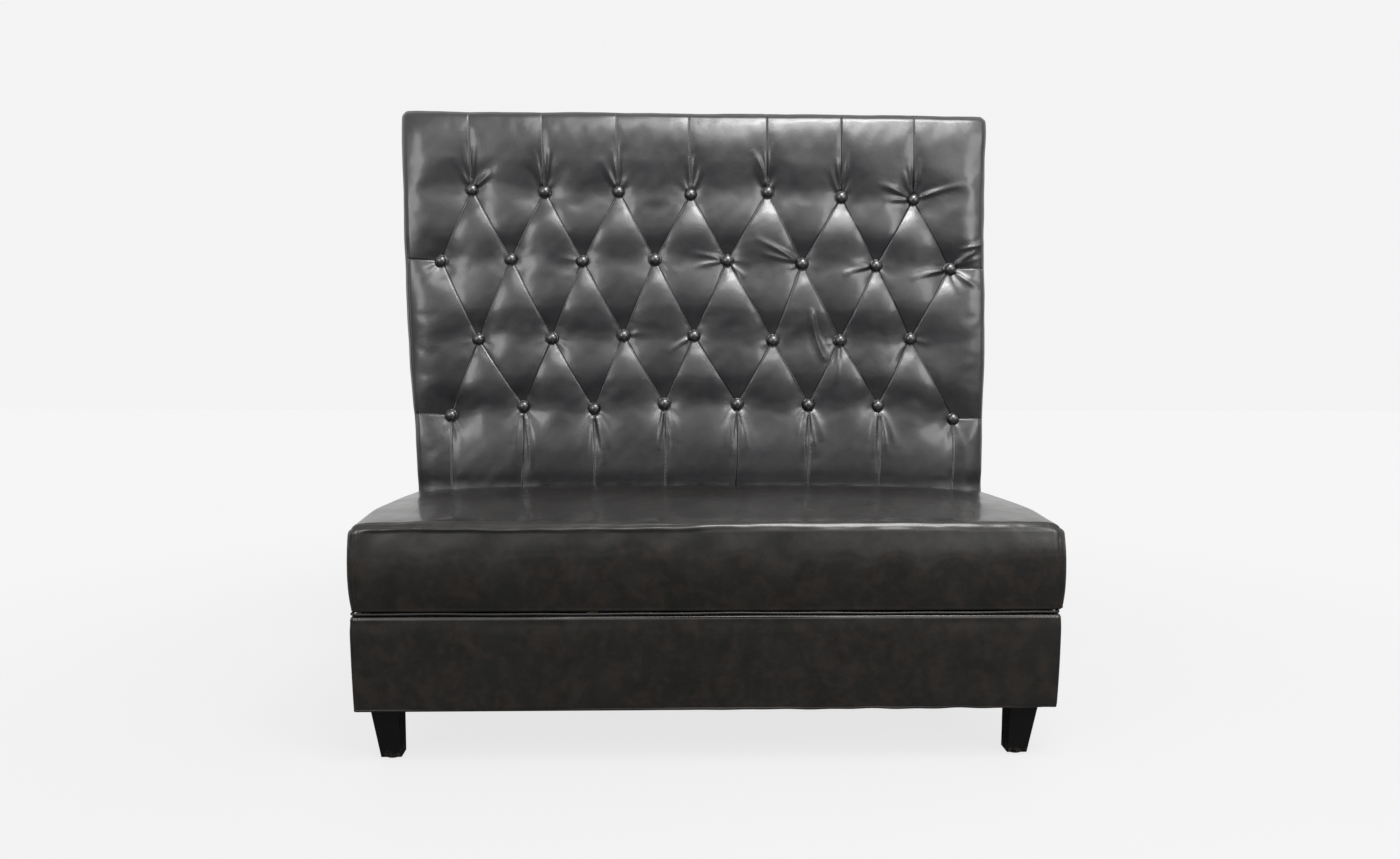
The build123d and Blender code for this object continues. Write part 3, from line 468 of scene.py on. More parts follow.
base_low, base_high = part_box("base_cover")
leather_thickness = 0.002
turn_in = 0.017
corner_roll, edge_roll, sharp = 0.009, 0.0065, 1e-6
rim_band, foot_band, top_band = 0.02, 0.010, 0.012
xs = spaced(base_low.x, (base_low.x + rim_band, 0.002), (base_high.x - rim_band, 0.0026),
            (base_high.x, 0.002))
ys = spaced(base_low.y, (base_low.y + rim_band, 0.002), (base_high.y, 0.004))
zs = spaced(base_low.z, (base_low.z + foot_band, 0.0012), (base_high.z - top_band, 0.007),
            (base_high.z, 0.0010))
base_band = box_skin("base_leather_band", xs, ys, zs, ("left", "right", "front", "bottom", "top"),
                     base_leather)
work = opened(base_band)
open_part = []
for face in work.faces:
    middle = face.calc_center_median()
    level = abs(face.normal.z) > 0.5
    if level and abs(middle.x) < base_high.x - turn_in and middle.y > base_low.y + turn_in:
        open_part.append(face)
bmesh.ops.delete(work, geom=open_part, context="FACES")
hand_back(work, base_band.data)

# The band is pulled tight, so it draws in at its foot and its shoulder, bellies a little between them, and
# puckers where it is stapled.
foot_draw, belly, shoulder_draw, staple_pitch = 0.0034, 0.0012, 0.0014, 0.0062
rest = places_of(base_band)
x, y, z = rest.T
skin = round_edges(rest, base_low, base_high, (corner_roll, corner_roll, edge_roll),
                   (corner_roll, sharp, edge_roll))
height = (z - base_low.z) / (base_high.z - base_low.z)
facing = outward(base_band, skin)
upright = 1 - ramp_up(abs(facing[:, 2]), 0.5, 0.9)
drawn_in = -foot_draw * (1 - height) + belly * np.sin(height * math.pi) ** 0.7
shoulder = -shoulder_draw * ramp_up(z, base_high.z - 0.035, base_high.z) ** 2
slow = ripple(rest, ((0.45, 0.0010), (0.14, 0.00045)), 5)
puckers = 0.00028 * bell(z, base_high.z, 0.0045) * np.sin((x + y) * 2 * math.pi / staple_pitch)
dips = -0.0004 * bell(z, base_high.z - 0.015, 0.006) * (1 + 0.9 * np.sin(x * 17))
skin += facing * ((drawn_in + shoulder + slow + dips) * upright + puckers)[:, None]
skin[:, 0] += 0.0025 * ramp_up(x, 0.55, 0.61)
tucks = np.sin(x * 61) * np.sin(x * 23 + 1) * ramp_up(x, -0.2, 0.4)
on_front_foot = (1 - ramp_up(z, base_low.z, base_low.z + 0.02)) * (y < -0.3)
skin[:, 2] -= (0.0012 + 0.0012 * tucks) * on_front_foot
put(base_band, skin)
wall = base_band.modifiers.new("leather", "SOLIDIFY")
wall.thickness, wall.offset = leather_thickness, -1.0
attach(base_band, "root")
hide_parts("base_cover", "base_padding")


# Welt
#
# A thin cord wrapped in a strip of the same leather, whose flange is stapled to the top of the base. It fills
# the joint under the cushion along the front and both sides, and wanders a little, as a hand-laid cord does.
# Its colour is painted darker than the base's leather, as painted shade for the joint under the cushion.

def bent_path(corners, radius, spacing):
    """Points along straight runs whose corners are rounded to one radius."""
    corners = [np.array(corner) for corner in corners]
    path = [corners[0]]

    def run_to(end):
        run = end - path[-1]
        count = max(2, int(np.linalg.norm(run) / spacing))
        path.extend([path[-1] + run * (n + 1) / count for n in range(count)])

    for before, corner, after in zip(corners[:-2], corners[1:-1], corners[2:]):
        coming = (corner - before) / np.linalg.norm(corner - before)
        going = (after - corner) / np.linalg.norm(after - corner)
        enter, leave = corner - coming * radius, corner + going * radius
        run_to(enter)
        centre = enter + going * radius
        for turned in np.linspace(0, math.pi / 2, 8)[1:]:
            path.append(centre - going * radius * math.cos(turned) + coming * radius * math.sin(turned))
        path[-1] = leave
    run_to(corners[-1])
    return np.array(path)


def cord_skin(name, path, radius, sides, material):
    """A closed round cord along a level path."""
    way = np.gradient(path, axis=0)
    way /= np.linalg.norm(way, axis=1, keepdims=True)
    across = np.stack([-way[:, 1], way[:, 0], np.zeros(len(way))], axis=1)
    turned = np.arange(sides) * 2 * math.pi / sides
    ring = (np.cos(turned)[None, :, None] * across[:, None, :]
            + np.sin(turned)[None, :, None] * np.array((0.0, 0.0, 1.0))[None, None, :])
    points = (path[:, None, :] + radius[:, None, None] * ring).reshape(-1, 3)
    faces = []
    for n in range(len(path) - 1):
        for m in range(sides):
            after = (m + 1) % sides
            faces.append((n * sides + m, n * sides + after, (n + 1) * sides + after, (n + 1) * sides + m))
    last = (len(path) - 1) * sides
    faces.append(tuple(range(sides - 1, -1, -1)))
    faces.append(tuple(last + m for m in range(sides)))
    cord = lay_mesh(name, points, faces, material)
    face_outwards(opened(cord), cord)
    return cord


welt_low, welt_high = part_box("base_welt")
welt_radius, air, welt_bend, welt_step = 0.0024, 0.0006, 0.008, 0.004
line_x, line_y = welt_high.x - welt_radius, welt_low.y + welt_radius
line_z = base_high.z + welt_radius + air
route = bent_path([(-line_x, welt_high.y, line_z), (-line_x, line_y, line_z), (line_x, line_y, line_z),
                   (line_x, welt_high.y, line_z)], welt_bend, welt_step)
route[:, 2] += 0.0005 * np.sin(route[:, 0] * 11 + 1) + 0.0003 * np.sin(route[:, 0] * 37)
route[:, 1] += 0.0004 * np.sin(route[:, 0] * 23) * (abs(route[:, 1] - line_y) < 0.001)
route[:, 0] += 0.0018 * ramp_up(route[:, 0], 0.55, 0.60) - 0.0010 * ramp_up(-route[:, 0], 0.55, 0.60)
order = np.arange(len(route))
thick = welt_radius * (1 + 0.05 * np.sin(order * 1.9) + 0.04 * np.sin(order * 0.31))
# Darker than the base's leather: painted shade for the dark joint under the cushion.
welt_leather_painted_shade = coated_leather("black_piping_leather", (0.0026, 0.0023, 0.0020, 1),
                              (0.0070, 0.0058, 0.0048, 1), 0.8, 0.52, 0.8, 0.30, coat_roughness=0.34)
welt = cord_skin("base_leather_welt", route, thick, 10, welt_leather_painted_shade)
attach(welt, "root")
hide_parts("base_welt")


# Seat cushion
#
# A foam block over felt and zigzag springs, in a leather cover of one long strip over front, top and rear,
# with a panel sewn in at each side. The cover is pulled down tight, so its sides draw in to the frame and
# its top is crowned.

def blown_up(places, held, slack, pressure, cap):
    """How far a cloth swells under pressure. places is a grid of points and held a grid of pin weights."""
    settled_by = 20
    wide, tall = places.shape[:2]
    index = np.arange(wide * tall).reshape(wide, tall)
    sheet = lay_mesh("cloth_sheet", places.reshape(-1, 3), squares(index).tolist(), base_leather)
    pins = sheet.vertex_groups.new(name="held")
    for weight in np.unique(held):
        pins.add(np.nonzero(held.ravel() == weight)[0].tolist(), float(weight), "REPLACE")
    cloth = sheet.modifiers.new("cloth", "CLOTH")
    fabric = cloth.settings
    fabric.quality, fabric.mass, fabric.air_damping = 6, 0.2, 4.0
    fabric.tension_stiffness, fabric.compression_stiffness = 40.0, 40.0
    fabric.shear_stiffness, fabric.bending_stiffness = 20.0, 12.0
    fabric.vertex_group_mass, fabric.pin_stiffness = "held", 1.0
    fabric.use_pressure, fabric.uniform_pressure_force = True, pressure
    fabric.shrink_min = -slack
    fabric.effector_weights.gravity = 0.0
    cloth.collision_settings.use_collision = False
    cloth.point_cache.frame_start, cloth.point_cache.frame_end = 1, settled_by
    for moment in range(1, settled_by + 1):
        bpy.context.scene.frame_set(moment)
    settled = sheet.evaluated_get(bpy.context.evaluated_depsgraph_get())
    moved = np.empty(wide * tall * 3)
    settled.data.vertices.foreach_get("co", moved)
    bpy.context.scene.frame_set(1)
    bpy.data.objects.remove(sheet)
    move = moved.reshape(places.shape) - places
    size = np.linalg.norm(move, axis=2, keepdims=True)
    return move * np.minimum(1.0, cap / np.maximum(size, 1e-9))


def read_grid(grid, us, vs, points):
    """Reads a grid of moves at points given as (u, v), along smooth curves between its places."""
    def shares(places, values):
        first = np.clip(np.searchsorted(places, values) - 1, 1, len(places) - 3)
        t = np.clip((values - places[first]) / (places[first + 1] - places[first]), 0, 1)
        four = np.stack([(1 - t) ** 3, 3 * t ** 3 - 6 * t ** 2 + 4,
                         -3 * t ** 3 + 3 * t ** 2 + 3 * t + 1, t ** 3])
        return first, four / 6
    at_u, share_u = shares(us, points[:, 0])
    at_v, share_v = shares(vs, points[:, 1])
    total = np.zeros((len(points), 3))
    for i in range(4):
        for j in range(4):
            total += (share_u[i] * share_v[j])[:, None] * grid[at_u + i - 1, at_v + j - 1]
    return total


def pinned_borders(held, ends, sides):
    """Pins so many outer lines of a grid of pin weights at its two ends and along its two sides."""
    held[:ends], held[-ends:], held[:, :sides], held[:, -sides:] = 1.0, 1.0, 1.0, 1.0
    return held


seat_low, seat_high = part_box("seat_cover")
seat_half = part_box("seat_right_side_cover")[1].x
seat_top = seat_high.z
side_border = 0.0125
left_roll, front_roll, foot_roll = 0.015, 0.014, 0.0025
right_roll, rear_roll, seat_roll = 0.022, 0.010, 0.016
side_band, front_band, rear_band, foot_band, top_band = 0.03, 0.04, 0.02, 0.012, 0.045
xs = spaced(-seat_half, (side_band - seat_half, 0.0015), (seat_half - side_band, 0.005), (seat_half, 0.0015))
ys = spaced(seat_low.y, (seat_low.y + front_band, 0.0015), (seat_high.y - rear_band, 0.008),
            (seat_high.y, 0.004))
zs = spaced(seat_low.z, (seat_low.z + foot_band, 0.003), (seat_top - top_band, 0.005), (seat_top, 0.0015))
seat_pad = box_skin("seat_leather_cushion", xs, ys, zs, ("left", "right", "front", "rear", "top"),
                    base_leather)
rest = places_of(seat_pad)
x, y, z = rest.T
skin = round_edges(rest, (-seat_half, seat_low.y, seat_low.z), (seat_half, seat_high.y, seat_top),
                   (left_roll, front_roll, foot_roll), (right_roll, rear_roll, seat_roll))
across = abs(x) / seat_half
deep = (y - seat_low.y) / (seat_high.y - seat_low.y)
height = (z - seat_low.z) / (seat_top - seat_low.z)
risen = np.clip(height, 0, 1)

# The top falls towards the back's foot, most at its sides, and towards both front corners.
middle_drop, edge_drop, side_drop, corner_drop, corner_reach = 0.0065, 0.0015, 0.0180, 0.0065, 0.040
middle_fall = middle_drop * np.clip((deep - 0.4) / 0.6, 0, 1) ** 1.5
edge_fall = edge_drop + side_drop * np.clip((deep - 0.30) / 0.70, 0, 1) ** 1.3
fall = middle_fall * (1 - across ** 4) + edge_fall * across ** 4
skin[:, 2] -= fall * risen ** 2
corner = np.clip((abs(x) - seat_half + corner_reach) / corner_reach, 0, 1) ** 2.2
skin[:, 2] -= corner_drop * corner * risen ** 4 * (1 - ramp_up(deep, 0.0, 0.35))

# The sides belly out over a drawn-in foot, the right end spreads, and the front leans back towards the top.
belly, foot_draw, spread, foot_spread = 0.0042, 0.0032, 0.0055, 0.0025
facing = outward(seat_pad, skin)
upright = 1 - ramp_up(abs(facing[:, 2]), 0.25, 0.95)
swell = belly * np.sin(risen ** 0.8 * math.pi) ** 0.9 - foot_draw * (1 - np.clip(height * 2.2, 0, 1)) ** 2
free = 1 - ramp_up(y, seat_high.y - 0.05, seat_high.y)
slow = ripple(rest, ((0.5, 0.0013), (0.2, 0.0008), (0.08, 0.0003)), 11) * np.clip(height * 3, 0, 1)
skin += facing * ((swell * upright + slow) * free)[:, None]
skin[:, 0] += (spread + foot_spread * (1 - height)) * ramp_up(x, 0.52, 0.61)
lean_back = (0.0022 + 0.0040 * ramp_up(x, 0.05, 0.5)) * ramp_up(height, 0.52, 1.0) ** 1.5
lean_back += 0.0012 * np.sin(x * 9) * ramp_up(height, 0.4, 0.8)
skin[:, 1] += lean_back * np.clip((seat_low.y + 0.06 - y) / 0.06, 0, 1)

# The front top edge is a turned seam: a ridge, the seam's groove under it, and the soft swell of the front
# panel. Angles are in degrees up from straight ahead.
stitch_pitch = 0.0056
roll_angle = np.degrees(np.arctan2(facing[:, 2], -facing[:, 1]))
on_front = ramp_up(-y, -(seat_low.y + 0.045), -(seat_low.y + 0.03))
sway = 3 * np.sin(x * 7.0 + 0.6) + 2.5 * np.sin(x * 23.0) + 2 * np.sin(x * 61.0 + 1.0)
rightward = ramp_up(x, -0.20, 0.25)
lip = 18 + 24 * rightward + sway
uneven = 1 + 0.30 * np.sin(x * 13.0 + 1.4) + 0.35 * np.sin(x * 29.0) * np.sin(x * 71.0)
ends = 1 - ramp_up(abs(x), seat_half - 0.045, seat_half - 0.018)
ridge = (0.0016 - 0.0009 * rightward) * bell(roll_angle, lip, 9 + 13 * rightward) * uneven * ends
groove = -0.0004 * bell(roll_angle, lip - 20 - 6 * rightward, 9) * ends
crest = -0.0010 * bell(roll_angle, 69 + sway, 8) * ends
stitched = 0.00012 * bell(roll_angle, lip, 16) * np.sin(x * 2 * math.pi / stitch_pitch)
skin += outward(seat_pad, skin) * ((ridge + groove + crest + stitched) * on_front)[:, None]

# The corner seams of the side panels dip, and pucker a little near the top.
seam_gap = abs(abs(x) - (seat_half - side_border))
seam_dip = -0.0011 * bell(seam_gap, 0, 0.0020) * (1 - 0.7 * ramp_up(height, 0.7, 0.95) * on_front)
from_end = seat_half - abs(x)
at_corner = bell(from_end, 0, 0.026) * on_front * ramp_up(height, 0.35, 0.75)
pucker = 0.00005 * at_corner * np.sin(height * 46 + np.sign(x) * 9 * from_end / 0.03)
skin += outward(seat_pad, skin) * (seam_dip + pucker * (height < 0.97))[:, None]
skin[:, 1] = np.minimum(skin[:, 1], seat_high.y)

# The strip over front and top is cut with a little slack, and the foam presses it out between the seams.
lightly, at_ridge, slack, pressure, cap, kept_share = 0.06, 0.5, 0.006, 4.0, 0.003, 0.30
us = xs[np.unique(np.searchsorted(xs, np.linspace(xs[0], xs[-1], 122)))]
up_front = zs[np.unique(np.searchsorted(zs, np.linspace(zs[2], zs[-1], 15)))]
over_top = ys[np.unique(np.searchsorted(ys, np.linspace(ys[0], ys[-3], 46)))][1:]
vs = np.concatenate([up_front - seat_top, over_top - seat_low.y])
lookup = KDTree(len(rest))
for n, place in enumerate(rest):
    lookup.insert(place, n)
lookup.balance()
rows_of = [(seat_low.y, level) for level in up_front] + [(inward, seat_top) for inward in over_top]
nearest = [[lookup.find((u, inward, level))[1] for inward, level in rows_of] for u in us]
held = np.full((len(us), len(vs)), lightly)
held[:, abs(vs) < 0.006] = at_ridge
moves = blown_up(skin[np.array(nearest)], pinned_borders(held, 4, 2), slack, pressure, cap)
on_top = z > seat_top - 1e-6
on_strip = (y < seat_low.y + 1e-6) | on_top
along = np.where(on_top, y - seat_low.y, z - seat_top)
read = read_grid(moves, us, vs, np.stack([x, along], axis=1)[on_strip])
between_sides = ramp_up(seat_half - side_border - abs(x), 0.0, 0.02)[on_strip]
skin[on_strip] += kept_share * read * between_sides[:, None]
skin[:, 1] = np.minimum(skin[:, 1], seat_high.y)
put(seat_pad, skin)

frame_low, frame_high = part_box("seat_front_rail")
frame_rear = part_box("seat_rear_rail")[1].y
felt_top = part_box("spring_felt")[1].z
hair, foot_fold, rail_cover = 0.0002, 0.012, 0.011


def drawn_to(low, high):
    """A rule that draws a rim in to the box between two corners."""
    def rule(place):
        return Vector([max(least, min(most, value)) for least, most, value in zip(low, high, place)])
    return rule


def round_frame(margin, level):
    """A rule that draws the rim in to a rectangle round the seat frame at one height."""
    return drawn_to((frame_low.x - margin, frame_low.y - margin, level),
                    (frame_high.x + margin, frame_rear + margin, level))


close_inside(seat_pad, (
    round_frame(-foot_fold, seat_low.z), round_frame(-foot_fold, seat_low.z + leather_thickness),
    round_frame(2 * hair, seat_low.z + leather_thickness), round_frame(2 * hair, frame_high.z + hair),
    round_frame(-rail_cover, frame_high.z + hair), round_frame(-rail_cover, felt_top + hair)))
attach(seat_pad, "root")
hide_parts("seat_cover", "seat_left_side_cover", "seat_right_side_cover", "seat_foam")


# Tufted back
#
# Foam on a ply panel under one sheet of leather, sewn in diamonds. A waxed twine pulls each button down
# through the foam to the panel, so the leather sinks round it, pleats where it has nowhere to go, and swells
# between.

def middles(name):
    """The middle of each loose solid of a CAD node."""
    work = opened(parts[name])
    bmesh.ops.remove_doubles(work, verts=work.verts, dist=1e-6)
    found, seen = [], set()
    for first in work.verts:
        if first in seen:
            continue
        seen.add(first)
        group, ahead = [], [first]
        while ahead:
            vertex = ahead.pop()
            group.append(vertex.co.copy())
            for edge in vertex.link_edges:
                other = edge.other_vert(vertex)
                if other not in seen:
                    seen.add(other)
                    ahead.append(other)
        group = np.array(group)
        found.append((group.min(axis=0) + group.max(axis=0)) / 2)
    work.free()
    return np.array(found)


# The dark tone is the leather's own; its bluish grey cast, against the seat's brown-black, is painted cool
# reflected light.
back_leather = coated_leather("black_grey_leather", (0.0034, 0.0035, 0.0052, 1), (0.0088, 0.0081, 0.0090, 1),
                              0.8, 0.35, 1.6, 0.74)
cover_low, cover_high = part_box("back_cover")
back_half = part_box("back_right_side_cover")[1].x
back_top, back_rear = cover_high.z, cover_high.y
back_front = seat_high.y + 0.0003
seat_line = 0.42
side_seam = back_half - 0.008
side_draw, lean = 0.004, 0.012
face_roll = 0.014
button_places = middles("tuft_buttons")[:, [0, 2]]
button_places = button_places[np.argsort(button_places[:, 1])]
rows = []
for count in (8, 7, 8, 7):
    taken = sum(len(row) for row in rows)
    row = button_places[taken:taken + count]
    rows.append(row[np.argsort(row[:, 0])])
buttons = np.concatenate(rows)

# Each seam is its start, its end, and whether it runs from button to button. Diagonals make the diamonds,
# uprights run on over the top row and under the bottom row, and levels run out to the side seams.
seams = []
for n in range(3):
    for i, low_end in enumerate(rows[n]):
        for j in ((i - 1, i) if len(rows[n]) == 8 else (i, i + 1)):
            if 0 <= j < len(rows[n + 1]):
                seams.append((low_end, rows[n + 1][j], True))
for row, end_level, wander, often in ((rows[3], back_top + 0.004, 0.004, 40),
                                      (rows[0], seat_line - 0.03, 0.003, 53)):
    for place in row:
        seams.append((place, np.array((place[0] + wander * math.sin(place[0] * often), end_level)), False))
for row in (rows[0], rows[2]):
    seams.append((row[0], np.array((-side_seam, row[0][1] + 0.004)), False))
    seams.append((row[-1], np.array((side_seam, row[-1][1] + 0.001)), False))

# The thirty pulls are found together, so that the leather meets every button at one depth.
rim, rim_depth, pocket_depth, pocket = 0.0122, 0.0166, 0.0182, 0.0117
reach_x, reach_above, reach_below, soft_tip = 0.038, 0.056, 0.036, 0.30
row_dip, fall_above, rise_below = 0.0036, 0.070, 0.105


def pull_at(points, place):
    """How much of a button's pull arrives at points given as (x, z)."""
    reach_z = np.where(points[:, 1] > place[1], reach_above, reach_below)
    away = np.hypot((points[:, 0] - place[0]) / reach_x, (points[:, 1] - place[1]) / reach_z)
    return np.exp(soft_tip - np.hypot(away, soft_tip))


rims = np.concatenate([row + np.array((rim, 0.0)) for row in rows])
pulls = np.array([pull_at(rims, place) for place in buttons]).T
weights = np.linalg.solve(pulls, np.full(len(buttons), rim_depth - row_dip))


def bent_line(start, bend, end, share):
    """Points along a bent line, at shares of it."""
    share = share[:, None]
    return (1 - share) ** 2 * start + 2 * share * (1 - share) * bend + share ** 2 * end


def about_line(points, line, reach):
    """Whether points lie in the rectangle round a line, with a reach to spare."""
    return ((points > line.min(axis=0) - reach) & (points < line.max(axis=0) + reach)).all(axis=1)


def fold(points, start, bend, end, width, height, fading=True):
    """The height of a soft fold along a bent line. It dies away from its start, or else towards both ends."""
    share = np.linspace(0, 1, 60)
    line = bent_line(start, bend, end, share)
    near = np.nonzero(about_line(points, line, 4 * width))[0]
    total = np.zeros(len(points))
    if len(near) == 0:
        return total
    away = points[near][:, None, :] - line[None, :, :]
    nearest = (away ** 2).sum(axis=2).argmin(axis=1)
    way = np.gradient(line, axis=0)
    way /= np.linalg.norm(way, axis=1, keepdims=True)
    last = away[np.arange(len(near)), nearest]
    aside = last[:, 0] * way[nearest, 1] - last[:, 1] * way[nearest, 0]
    beyond = abs((last * way[nearest]).sum(axis=1))
    along = share[nearest]
    swell = ramp_up(along, 0.0, 0.14) * (1 - along) ** 0.75 if fading else np.sin(along * math.pi) ** 0.8
    thick = width * (0.7 + 0.6 * along)
    shape = bell(aside, 0, thick) - 0.12 * bell(abs(aside), 2.2 * thick, thick)
    total[near] = height * swell * shape * bell(beyond, 0, 0.003)
    return total


def from_button(place, angle, length, bow, width, height):
    """A pleat that leaves a button at an angle from straight down."""
    way = np.array((math.sin(angle), -math.cos(angle)))
    side = np.array((way[1], -way[0]))
    start = place + way * 0.009
    return start, start + way * length * 0.5 + side * bow, start + way * length, width, height, True


# Fans of folds hang under the bottom row, pleats stand over the top row, and faint ones lie by the others.
chance = np.random.default_rng(29)
folds = []
for place in rows[0][1:-1]:
    for angle, length, bow, width, height in (
            (-0.30, 0.085, 0.010, 0.0085, 0.0028), (-0.17, 0.120, 0.007, 0.0044, 0.0036),
            (-0.06, 0.100, 0.002, 0.0028, 0.0020), (0.06, 0.095, -0.002, 0.0028, 0.0020),
            (0.17, 0.125, -0.007, 0.0044, 0.0038), (0.32, 0.090, -0.010, 0.0085, 0.0028)):
        folds.append(from_button(place, angle + chance.normal() * 0.035, length * chance.uniform(0.7, 1.1),
                                 bow, width, height * chance.uniform(0.5, 1.15)))
for place in (rows[0][0], rows[0][-1]):
    for angle, length in ((-0.40, 0.050), (0.30, 0.060)):
        folds.append(from_button(place, angle, length, 0.0, 0.0050, 0.0012))
for place in rows[3]:
    leaf = chance.choice((-1, 1))
    for angle, length, width, height in (
            (-0.11, 0.085, 0.0034, 0.0030), (0.13, 0.080, 0.0034, 0.0028),
            (0.40 * leaf, 0.065, 0.0060, 0.0022), (-0.65 * leaf, 0.050, 0.0075, 0.0010)):
        folds.append(from_button(place, math.pi + angle + chance.normal() * 0.03,
                                 length * chance.uniform(0.8, 1.15), chance.normal() * 0.002, width,
                                 height * chance.uniform(0.7, 1.1)))
for row in rows[1:3]:
    for place in row:
        for angle in (-1.35, 1.35, -0.75, 0.75):
            folds.append(from_button(place, angle + chance.normal() * 0.25, chance.uniform(0.035, 0.065),
                                     chance.normal() * 0.005, 0.0062, chance.uniform(0.0000, 0.0012)))

# The folds that stand out in the photograph, by the row and number of their button: angle from straight down,
# length, bow, height.
marked_width = 0.0056
marked = {
    (3, 0): ((2.25, 0.050, 0.000, 0.0034),),
    (3, 4): ((-2.75, 0.085, 0.014, 0.0044),),
    (3, 6): ((-1.95, 0.080, 0.006, 0.0026), (-1.55, 0.060, 0.000, 0.0024), (1.85, 0.110, -0.008, 0.0030)),
    (2, 5): ((-2.05, 0.110, 0.004, 0.0036), (-1.80, 0.085, 0.002, 0.0028)),
    (2, 4): ((-1.35, 0.070, 0.004, 0.0024), (-1.75, 0.075, 0.004, 0.0022), (0.80, 0.045, 0.002, 0.0024)),
    (2, 6): ((-1.30, 0.070, 0.006, 0.0034), (-1.60, 0.050, 0.003, 0.0024)),
    (2, 7): ((-1.30, 0.080, 0.004, 0.0034), (2.20, 0.085, -0.006, 0.0036), (1.95, 0.065, -0.004, 0.0026),
             (0.95, 0.060, 0.006, 0.0030), (0.30, 0.050, 0.004, 0.0022)),
    (1, 5): ((-0.10, 0.085, 0.002, 0.0028),),
    (1, 3): ((-1.00, 0.060, 0.004, 0.0024),),
}
for (row, number), leaving in marked.items():
    for angle, length, bow, height in leaving:
        folds.append(from_button(rows[row][number], angle, length, bow, marked_width, height))
# Two more lie free of their buttons: a long one inside a diamond, and one across the right side seam.
for place, line, width, height in (
        (rows[1][5], ((-0.063, 0.072), (-0.060, 0.000), (-0.029, -0.046)), 0.0062, 0.0044),
        (rows[2][7] + (0.055, 0.050), ((-0.040, -0.010), (0.0, 0.0), (0.022, 0.008)), 0.0050, 0.0026)):
    folds.append((*(place + line), width, height, False))

# How deep the leather lies: in the valley of a seam from button to button and of one that runs out, and how
# much more of it near a button; in a seam's slit; and where the pad falls away to its sides, its top and
# the seat.
valley_between, valley_out, valley_more, valley_width = 0.0024, 0.0013, 0.0048, 0.012
slit_depth, slit_more, slit_width = 0.0018, 0.0010, 0.00105
more_within = 0.030
side_fall, side_reach, top_fall, top_reach, foot_fall = 0.0080, 0.060, 0.0092, 0.075, 0.004


def beside_line(points, start, end):
    """Where points lie beside a straight line: the share of it they are level with, and how far off it."""
    way = end - start
    along = np.clip((points - start) @ way / (way @ way), 0, 1)
    return along, np.linalg.norm(points - (start + along[:, None] * way), axis=1)


def seam_gaps(points):
    """How far points lie from the nearest seam."""
    return np.min([beside_line(points, start, end)[1] for start, end, _ in seams], axis=0)


def sink(points, fine=True):
    """How far the leather lies behind the fullest face of the pad, at points given as (x, z).

    fine adds the folds and the narrow slit of each seam."""
    x, z = points[:, 0], points[:, 1]
    depth = np.zeros(len(points))
    for weight, place in zip(weights, buttons):
        depth += weight * pull_at(points, place)
    inside = 1 - ramp_up(abs(x), back_half - 0.09, back_half - 0.03)
    for row in rows:
        above = z - np.interp(x, row[:, 0], row[:, 1])
        step = (1 - ramp_up(above, 0, fall_above)) * (1 - ramp_up(-above, 0, rise_below))
        depth += row_dip * (0.35 + 0.65 * inside) * (1 + 0.35 * np.sin(x * 11 + z * 23)) * step
    for start, end, between_buttons in seams:
        along, off = beside_line(points, start, end)
        near = np.linalg.norm(end - start) * (np.minimum(along, 1 - along) if between_buttons else along)
        by_button = np.exp(-near / more_within)
        valley = (valley_between if between_buttons else valley_out) + valley_more * by_button
        valley *= 0.25 + 0.75 * ramp_up(near, 0.008, 0.034)
        slit = slit_depth + slit_more * by_button
        soft = np.sqrt(off ** 2 + 0.0015 ** 2)
        depth += valley * np.exp(-soft / valley_width) + slit * bell(off, 0, slit_width) * fine
    for start, bend, end, width, height, fading in folds if fine else []:
        depth -= fold(points, start, bend, end, width, height, fading)
    side_gap = np.clip(1 - (back_half - abs(x)) / side_reach, 0, 1)
    top_gap = np.clip(1 - (back_top - z) / top_reach, 0, 1)
    depth += (side_fall + 0.0030 * np.sin(z * 13 + x * 3)) * side_gap ** 3
    depth += (top_fall + 0.0015 * np.sin(x * 9 + 1)) * top_gap ** 3
    depth += foot_fall * bell(z, seat_line, 0.02)
    for place in buttons:
        depth[np.hypot(x - place[0], z - place[1]) < pocket] = pocket_depth
    return depth


def divide(piece, picks):
    """Divides the faces whose middles a rule picks, once for each rule, and fits the faces round them."""
    work = opened(piece)
    for pick in picks:
        middle = np.array([face.calc_center_median()[:] for face in work.faces])
        chosen = np.nonzero(pick(middle))[0]
        work.faces.ensure_lookup_table()
        edges = list({edge for n in chosen for edge in work.faces[n].edges})
        bmesh.ops.subdivide_edges(work, edges=edges, cuts=1, use_grid_fill=True)
    for face in work.faces:
        face.smooth = True
    hand_back(work, piece.data)


def near_seams(seam_reach, button_reach, fold_reach):
    """A rule that picks faces on the front of the back near a seam, a button or a fold."""
    def pick(middle):
        flat = middle[:, [0, 2]]
        chosen = seam_gaps(flat) < seam_reach
        for place in buttons:
            chosen |= np.hypot(*(flat - place).T) < button_reach
        for start, bend, end, width, height, fading in folds:
            if height > 0.0012:
                line = bent_line(start, bend, end, np.linspace(0, 0.95, 24))
                near = np.nonzero(about_line(flat, line, fold_reach) & ~chosen)[0]
                gap = np.linalg.norm(flat[near][:, None, :] - line[None, :, :], axis=2)
                chosen[near[gap.min(axis=1, initial=1.0) < fold_reach]] = True
        return chosen & (middle[:, 1] < back_front + 0.001) & (middle[:, 2] > seat_line - 0.01)
    return pick


